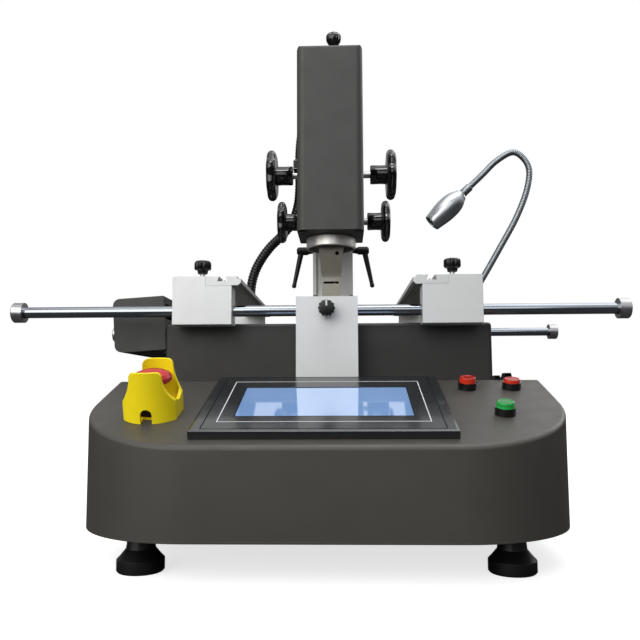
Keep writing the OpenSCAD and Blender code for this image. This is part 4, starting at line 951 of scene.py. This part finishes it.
# Lamp
def neck_line(points, count):
    """Points on the neck's centre line, by the same smooth run as in the part's source."""
    last = len(points) - 1
    out = []
    for k in range(count + 1):
        i = min(int(k / count * last), last - 1)
        u = k / count * last - i
        a, b, c, d = points[max(i - 1, 0)], points[i], points[i + 1], points[min(i + 2, last)]
        out.append((b * 2 + (c - a) * u + (a * 2 - b * 5 + c * 4 - d) * u ** 2
                    + (b * 3 - a - c * 3 + d) * u ** 3) * 0.5)
    return out


def ribbed_neck():
    """Gooseneck with its spiral rib, and its foot on the base."""
    tube_r, rib_h, rib_pitch = 4.85, 0.22, 2.6
    points = [Vector((x, LAMP_Y, TOP_Z + z)) for x, z in NECK_ROUTE]
    path, _ = smooth_path(neck_line(points, count=120), count=1000)
    bm = bmesh.new()
    sweep(bm, path, lambda distance, a: tube_r + rib_h * math.sin(2 * math.pi * distance / rib_pitch + a))
    foot = [(0, 0), (12.2, 0), (12.5, 0.4), (12.5, 4.6), (11.6, 6.0), (7.6, 6.2), (7.5, 16.6), (6.4, 18.0),
            (0, 18.0)]
    lathe(bm, foot, 40, at(NECK_X, LAMP_Y, TOP_Z))
    obj = piece("ribbed_neck", bm, "neck", "base")
    sharp(obj, 40)
    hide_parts("gooseneck")


def lamp_bell():
    """Side of the lamp's bell as (radius, height) points: runs between knots, evened out."""
    knots = [(16.2, 6.4), (17.0, 7.0), (21.0, LAMP_R * 0.60), (27.0, LAMP_R * 0.79), (36.0, LAMP_R * 0.95),
             (46.0, LAMP_R), (58.0, LAMP_R * 0.985), (70.0, LAMP_R * 0.89), (84.0, LAMP_R * 0.76)]
    low, high, steps, reach = knots[0][0], knots[-1][0], 24, 2
    heights = [low + (high - low) * k / steps for k in range(steps + 1)]
    radii = [between(knots, z) for z in heights]
    evened = radii[:]
    for k in range(1, steps):
        window = radii[max(0, k - reach):k + reach + 1]
        evened[k] = sum(window) / len(window)
    return list(zip(evened, heights))


def lamp():
    """Turned lamp head: shell with its rolled mouth, steel collar and pebbled lens."""
    end_x, end_z = NECK_ROUTE[-1]
    matrix = at(end_x, LAMP_Y, TOP_Z + end_z, (math.sin(LAMP_TURN), 0, math.cos(LAMP_TURN)))
    bm = bmesh.new()
    neck = [(0.0, 0.0), (5.6, 0.0), (6.0, 0.2), (6.2, 0.6), (6.3, 1.4), (6.3, 16.0)]
    mouth = [(LAMP_R * 0.755, 84.4), (LAMP_R * 0.715, 84.2), (LAMP_R * 0.70, 83.2), (LAMP_R * 0.72, 78.4)]
    lathe(bm, neck + lamp_bell() + mouth, 64)
    lathe(bm, [(0.0, 77.4), (LAMP_R * 0.72, 77.6)], 64)
    obj = piece("lamp_shell", bm, "lamp", "base", matrix=matrix)
    sharp(obj, 30)
    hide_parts("lamp_head")
    bm = bmesh.new()
    lathe(bm, [(5.2, -0.6), (6.2, -0.4), (6.6, 0.2), (6.6, 15.2), (6.2, 16.0), (5.2, 16.2)], 40)
    piece("lamp_collar", bm, "neck", "base", matrix=matrix)
    bm = bmesh.new()
    lathe(bm, [(LAMP_R * 0.70, 79.0), (LAMP_R * 0.66, 80.2), (LAMP_R * 0.45, 81.6), (LAMP_R * 0.2, 82.3),
               (0.0, 82.5)])
    piece("lamp_lens", bm, "lens", "base", matrix=matrix)


# Mains inlet
def inlet_details():
    """Three pins in the mains inlet, and the line on the mains rocker."""
    inlet_x, rocker_x = 131.5, 162.5
    pin_half_w, pin_half_t, mark_half_w = 2.0, 1.0, 0.6
    bm = bmesh.new()
    for over, z in ((3.0, 84.5), (9.5, 80.5), (16.0, 84.5)):
        x = inlet_x + over
        box(bm, (x - pin_half_w, x + pin_half_w), (REAR_Y - 20, REAR_Y - 4), (z - pin_half_t, z + pin_half_t))
    piece("inlet_pins", bm, "steel", "base", smooth=False)
    bm = bmesh.new()
    box(bm, (rocker_x - mark_half_w, rocker_x + mark_half_w), (REAR_Y - 0.2, REAR_Y + 0.35), (77.0, 80.0))
    piece("rocker_mark", bm, "white", "rocker", smooth=False)


# Floor and light
def join(tree, *pairs):
    """Link outputs to inputs, given as (output, input) pairs."""
    for output, socket in pairs:
        tree.links.new(output, socket)


def floor():
    """Pale floor that fades to white, and is dim in the object's reflections."""
    bm = bmesh.new()
    bmesh.ops.create_grid(bm, x_segments=1, y_segments=1, size=12000)
    obj = piece("floor", bm, None, None)
    material = bpy.data.materials.new("floor_white")
    material.use_nodes = True
    tree = material.node_tree
    tree.nodes.clear()
    out = node(tree, "OutputMaterial")
    pale = node(tree, "BsdfDiffuse", Color=(0.60, 0.60, 0.60, 1))
    dim = node(tree, "BsdfDiffuse", Color=(0.07, 0.07, 0.073, 1))
    glow = node(tree, "Emission", Color=(1, 1, 1, 1))
    coords = node(tree, "TexCoord")
    away = node(tree, "VectorMath")
    away.operation = "LENGTH"
    fade = node(tree, "MapRange", From_Min=0.45, From_Max=1.3, To_Min=0.72, To_Max=1.0)
    rays = node(tree, "LightPath")
    lit = node(tree, "AddShader")
    pick = node(tree, "MixShader")
    join(tree, (coords.outputs["Object"], away.inputs[0]), (away.outputs["Value"], fade.inputs["Value"]),
         (fade.outputs["Result"], glow.inputs["Strength"]), (pale.outputs[0], lit.inputs[0]),
         (glow.outputs[0], lit.inputs[1]), (rays.outputs["Is Camera Ray"], pick.inputs[0]),
         (dim.outputs[0], pick.inputs[1]), (lit.outputs[0], pick.inputs[2]),
         (pick.outputs[0], out.inputs[0]))
    obj.data.materials.append(material)


def world():
    """White to the camera, dim on surfaces, and in reflections a room that is bright behind and beside."""
    studio = bpy.data.worlds.new("studio")
    scene.world = studio
    studio.use_nodes = True
    tree = studio.node_tree
    tree.nodes.clear()
    out = node(tree, "OutputWorld")
    soft = node(tree, "Background", Color=(0.95, 0.97, 1.0, 1), Strength=0.22)
    white = node(tree, "Background", Color=(1, 1, 1, 1), Strength=1.0)
    mirror = node(tree, "Background")
    coords = node(tree, "TexCoord")
    split = node(tree, "SeparateXYZ")
    height = node(tree, "MapRange", From_Min=-1.0)
    stops = ((0.0, 0.03), (0.50, 0.06), (0.60, 0.16), (0.74, 0.50), (1.0, 0.85))
    room = colour_ramp(tree, height.outputs["Result"], [(at_z, (v * 0.98, v * 0.99, v)) for at_z, v in stops])
    behind = node(tree, "MapRange", From_Min=-0.2, From_Max=0.4, To_Min=0.22, To_Max=1.0)
    beside = node(tree, "MapRange", From_Min=0.10, From_Max=0.26, To_Min=0.0, To_Max=1.5)
    total = node(tree, "Math")
    join(tree, (coords.outputs["Generated"], split.inputs[0]), (split.outputs["Z"], height.inputs["Value"]),
         (room, mirror.inputs["Color"]), (split.outputs["Y"], behind.inputs["Value"]),
         (split.outputs["X"], beside.inputs["Value"]), (behind.outputs["Result"], total.inputs[0]),
         (beside.outputs["Result"], total.inputs[1]), (total.outputs["Value"], mirror.inputs["Strength"]))
    rays = node(tree, "LightPath")
    seen = node(tree, "Math")
    seen.operation = "MAXIMUM"
    inside = node(tree, "MixShader")
    pick = node(tree, "MixShader")
    join(tree, (rays.outputs["Is Camera Ray"], seen.inputs[0]),
         (rays.outputs["Is Transmission Ray"], seen.inputs[1]),
         (rays.outputs["Is Glossy Ray"], inside.inputs[0]), (soft.outputs[0], inside.inputs[1]),
         (mirror.outputs[0], inside.inputs[2]), (seen.outputs[0], pick.inputs[0]),
         (inside.outputs[0], pick.inputs[1]), (white.outputs[0], pick.inputs[2]),
         (pick.outputs[0], out.inputs[0]))


def area_light(name, place, aim, size, power, tone=(1, 1, 1)):
    """Soft rectangular light at a place, turned towards a point."""
    data = bpy.data.lights.new(name, "AREA")
    data.shape = "RECTANGLE"
    data.size, data.size_y = size
    data.energy = power
    data.color = tone
    obj = bpy.data.objects.new(name, data)
    scene.collection.objects.link(obj)
    obj.location = place
    obj.rotation_euler = (Vector(aim) - Vector(place)).to_track_quat("-Z", "Y").to_euler()


# The scene, with the camera and the cords first
camera()
hoses()
cad_looks()
base_housing()
preheater_case()
hose_clip()
fasteners()
panel_lines()
twist_arrows()
post_lock_grip()
lock_grips()
pickup_grip()
start_cap_line()
foot_nuts()
hand_wheels("upper_handwheels", "upper_drive", "upper_wheels", (-58.5, 60.5), UPPER_Y, UPPER_Z,
            wheel_d=78, hub_d=29, hub_l=24.5, rim_t=14)
hand_wheels("lower_handwheels", "lower_drive", "lower_wheels", (-43, 53), LOWER_Y, LOWER_Z,
            wheel_d=60, hub_d=25, hub_l=20, rim_t=12)
ribbed_neck()
lamp()
inlet_details()
floor()
world()
area_light("key", (-1.5, -1.8, 1.3), (0, 0, 0.3), (2.8, 2.4), 54, (1, 0.98, 0.95))
area_light("front", (-0.3, -2.4, 1.2), (0, 0, 0.3), (2.6, 1.4), 20, (0.97, 0.98, 1))
area_light("strip", (0.0, -0.75, 2.1), (0, 0, 0.4), (0.9, 0.3), 11)
area_light("top", (0.1, -0.3, 2.2), (0, -0.1, 0.2), (2.6, 1.8), 23)
area_light("back", (1.9, 1.3, 1.5), (0, 0, 0.4), (1.4, 1.0), 10)
scene.view_settings.view_transform = "Standard"
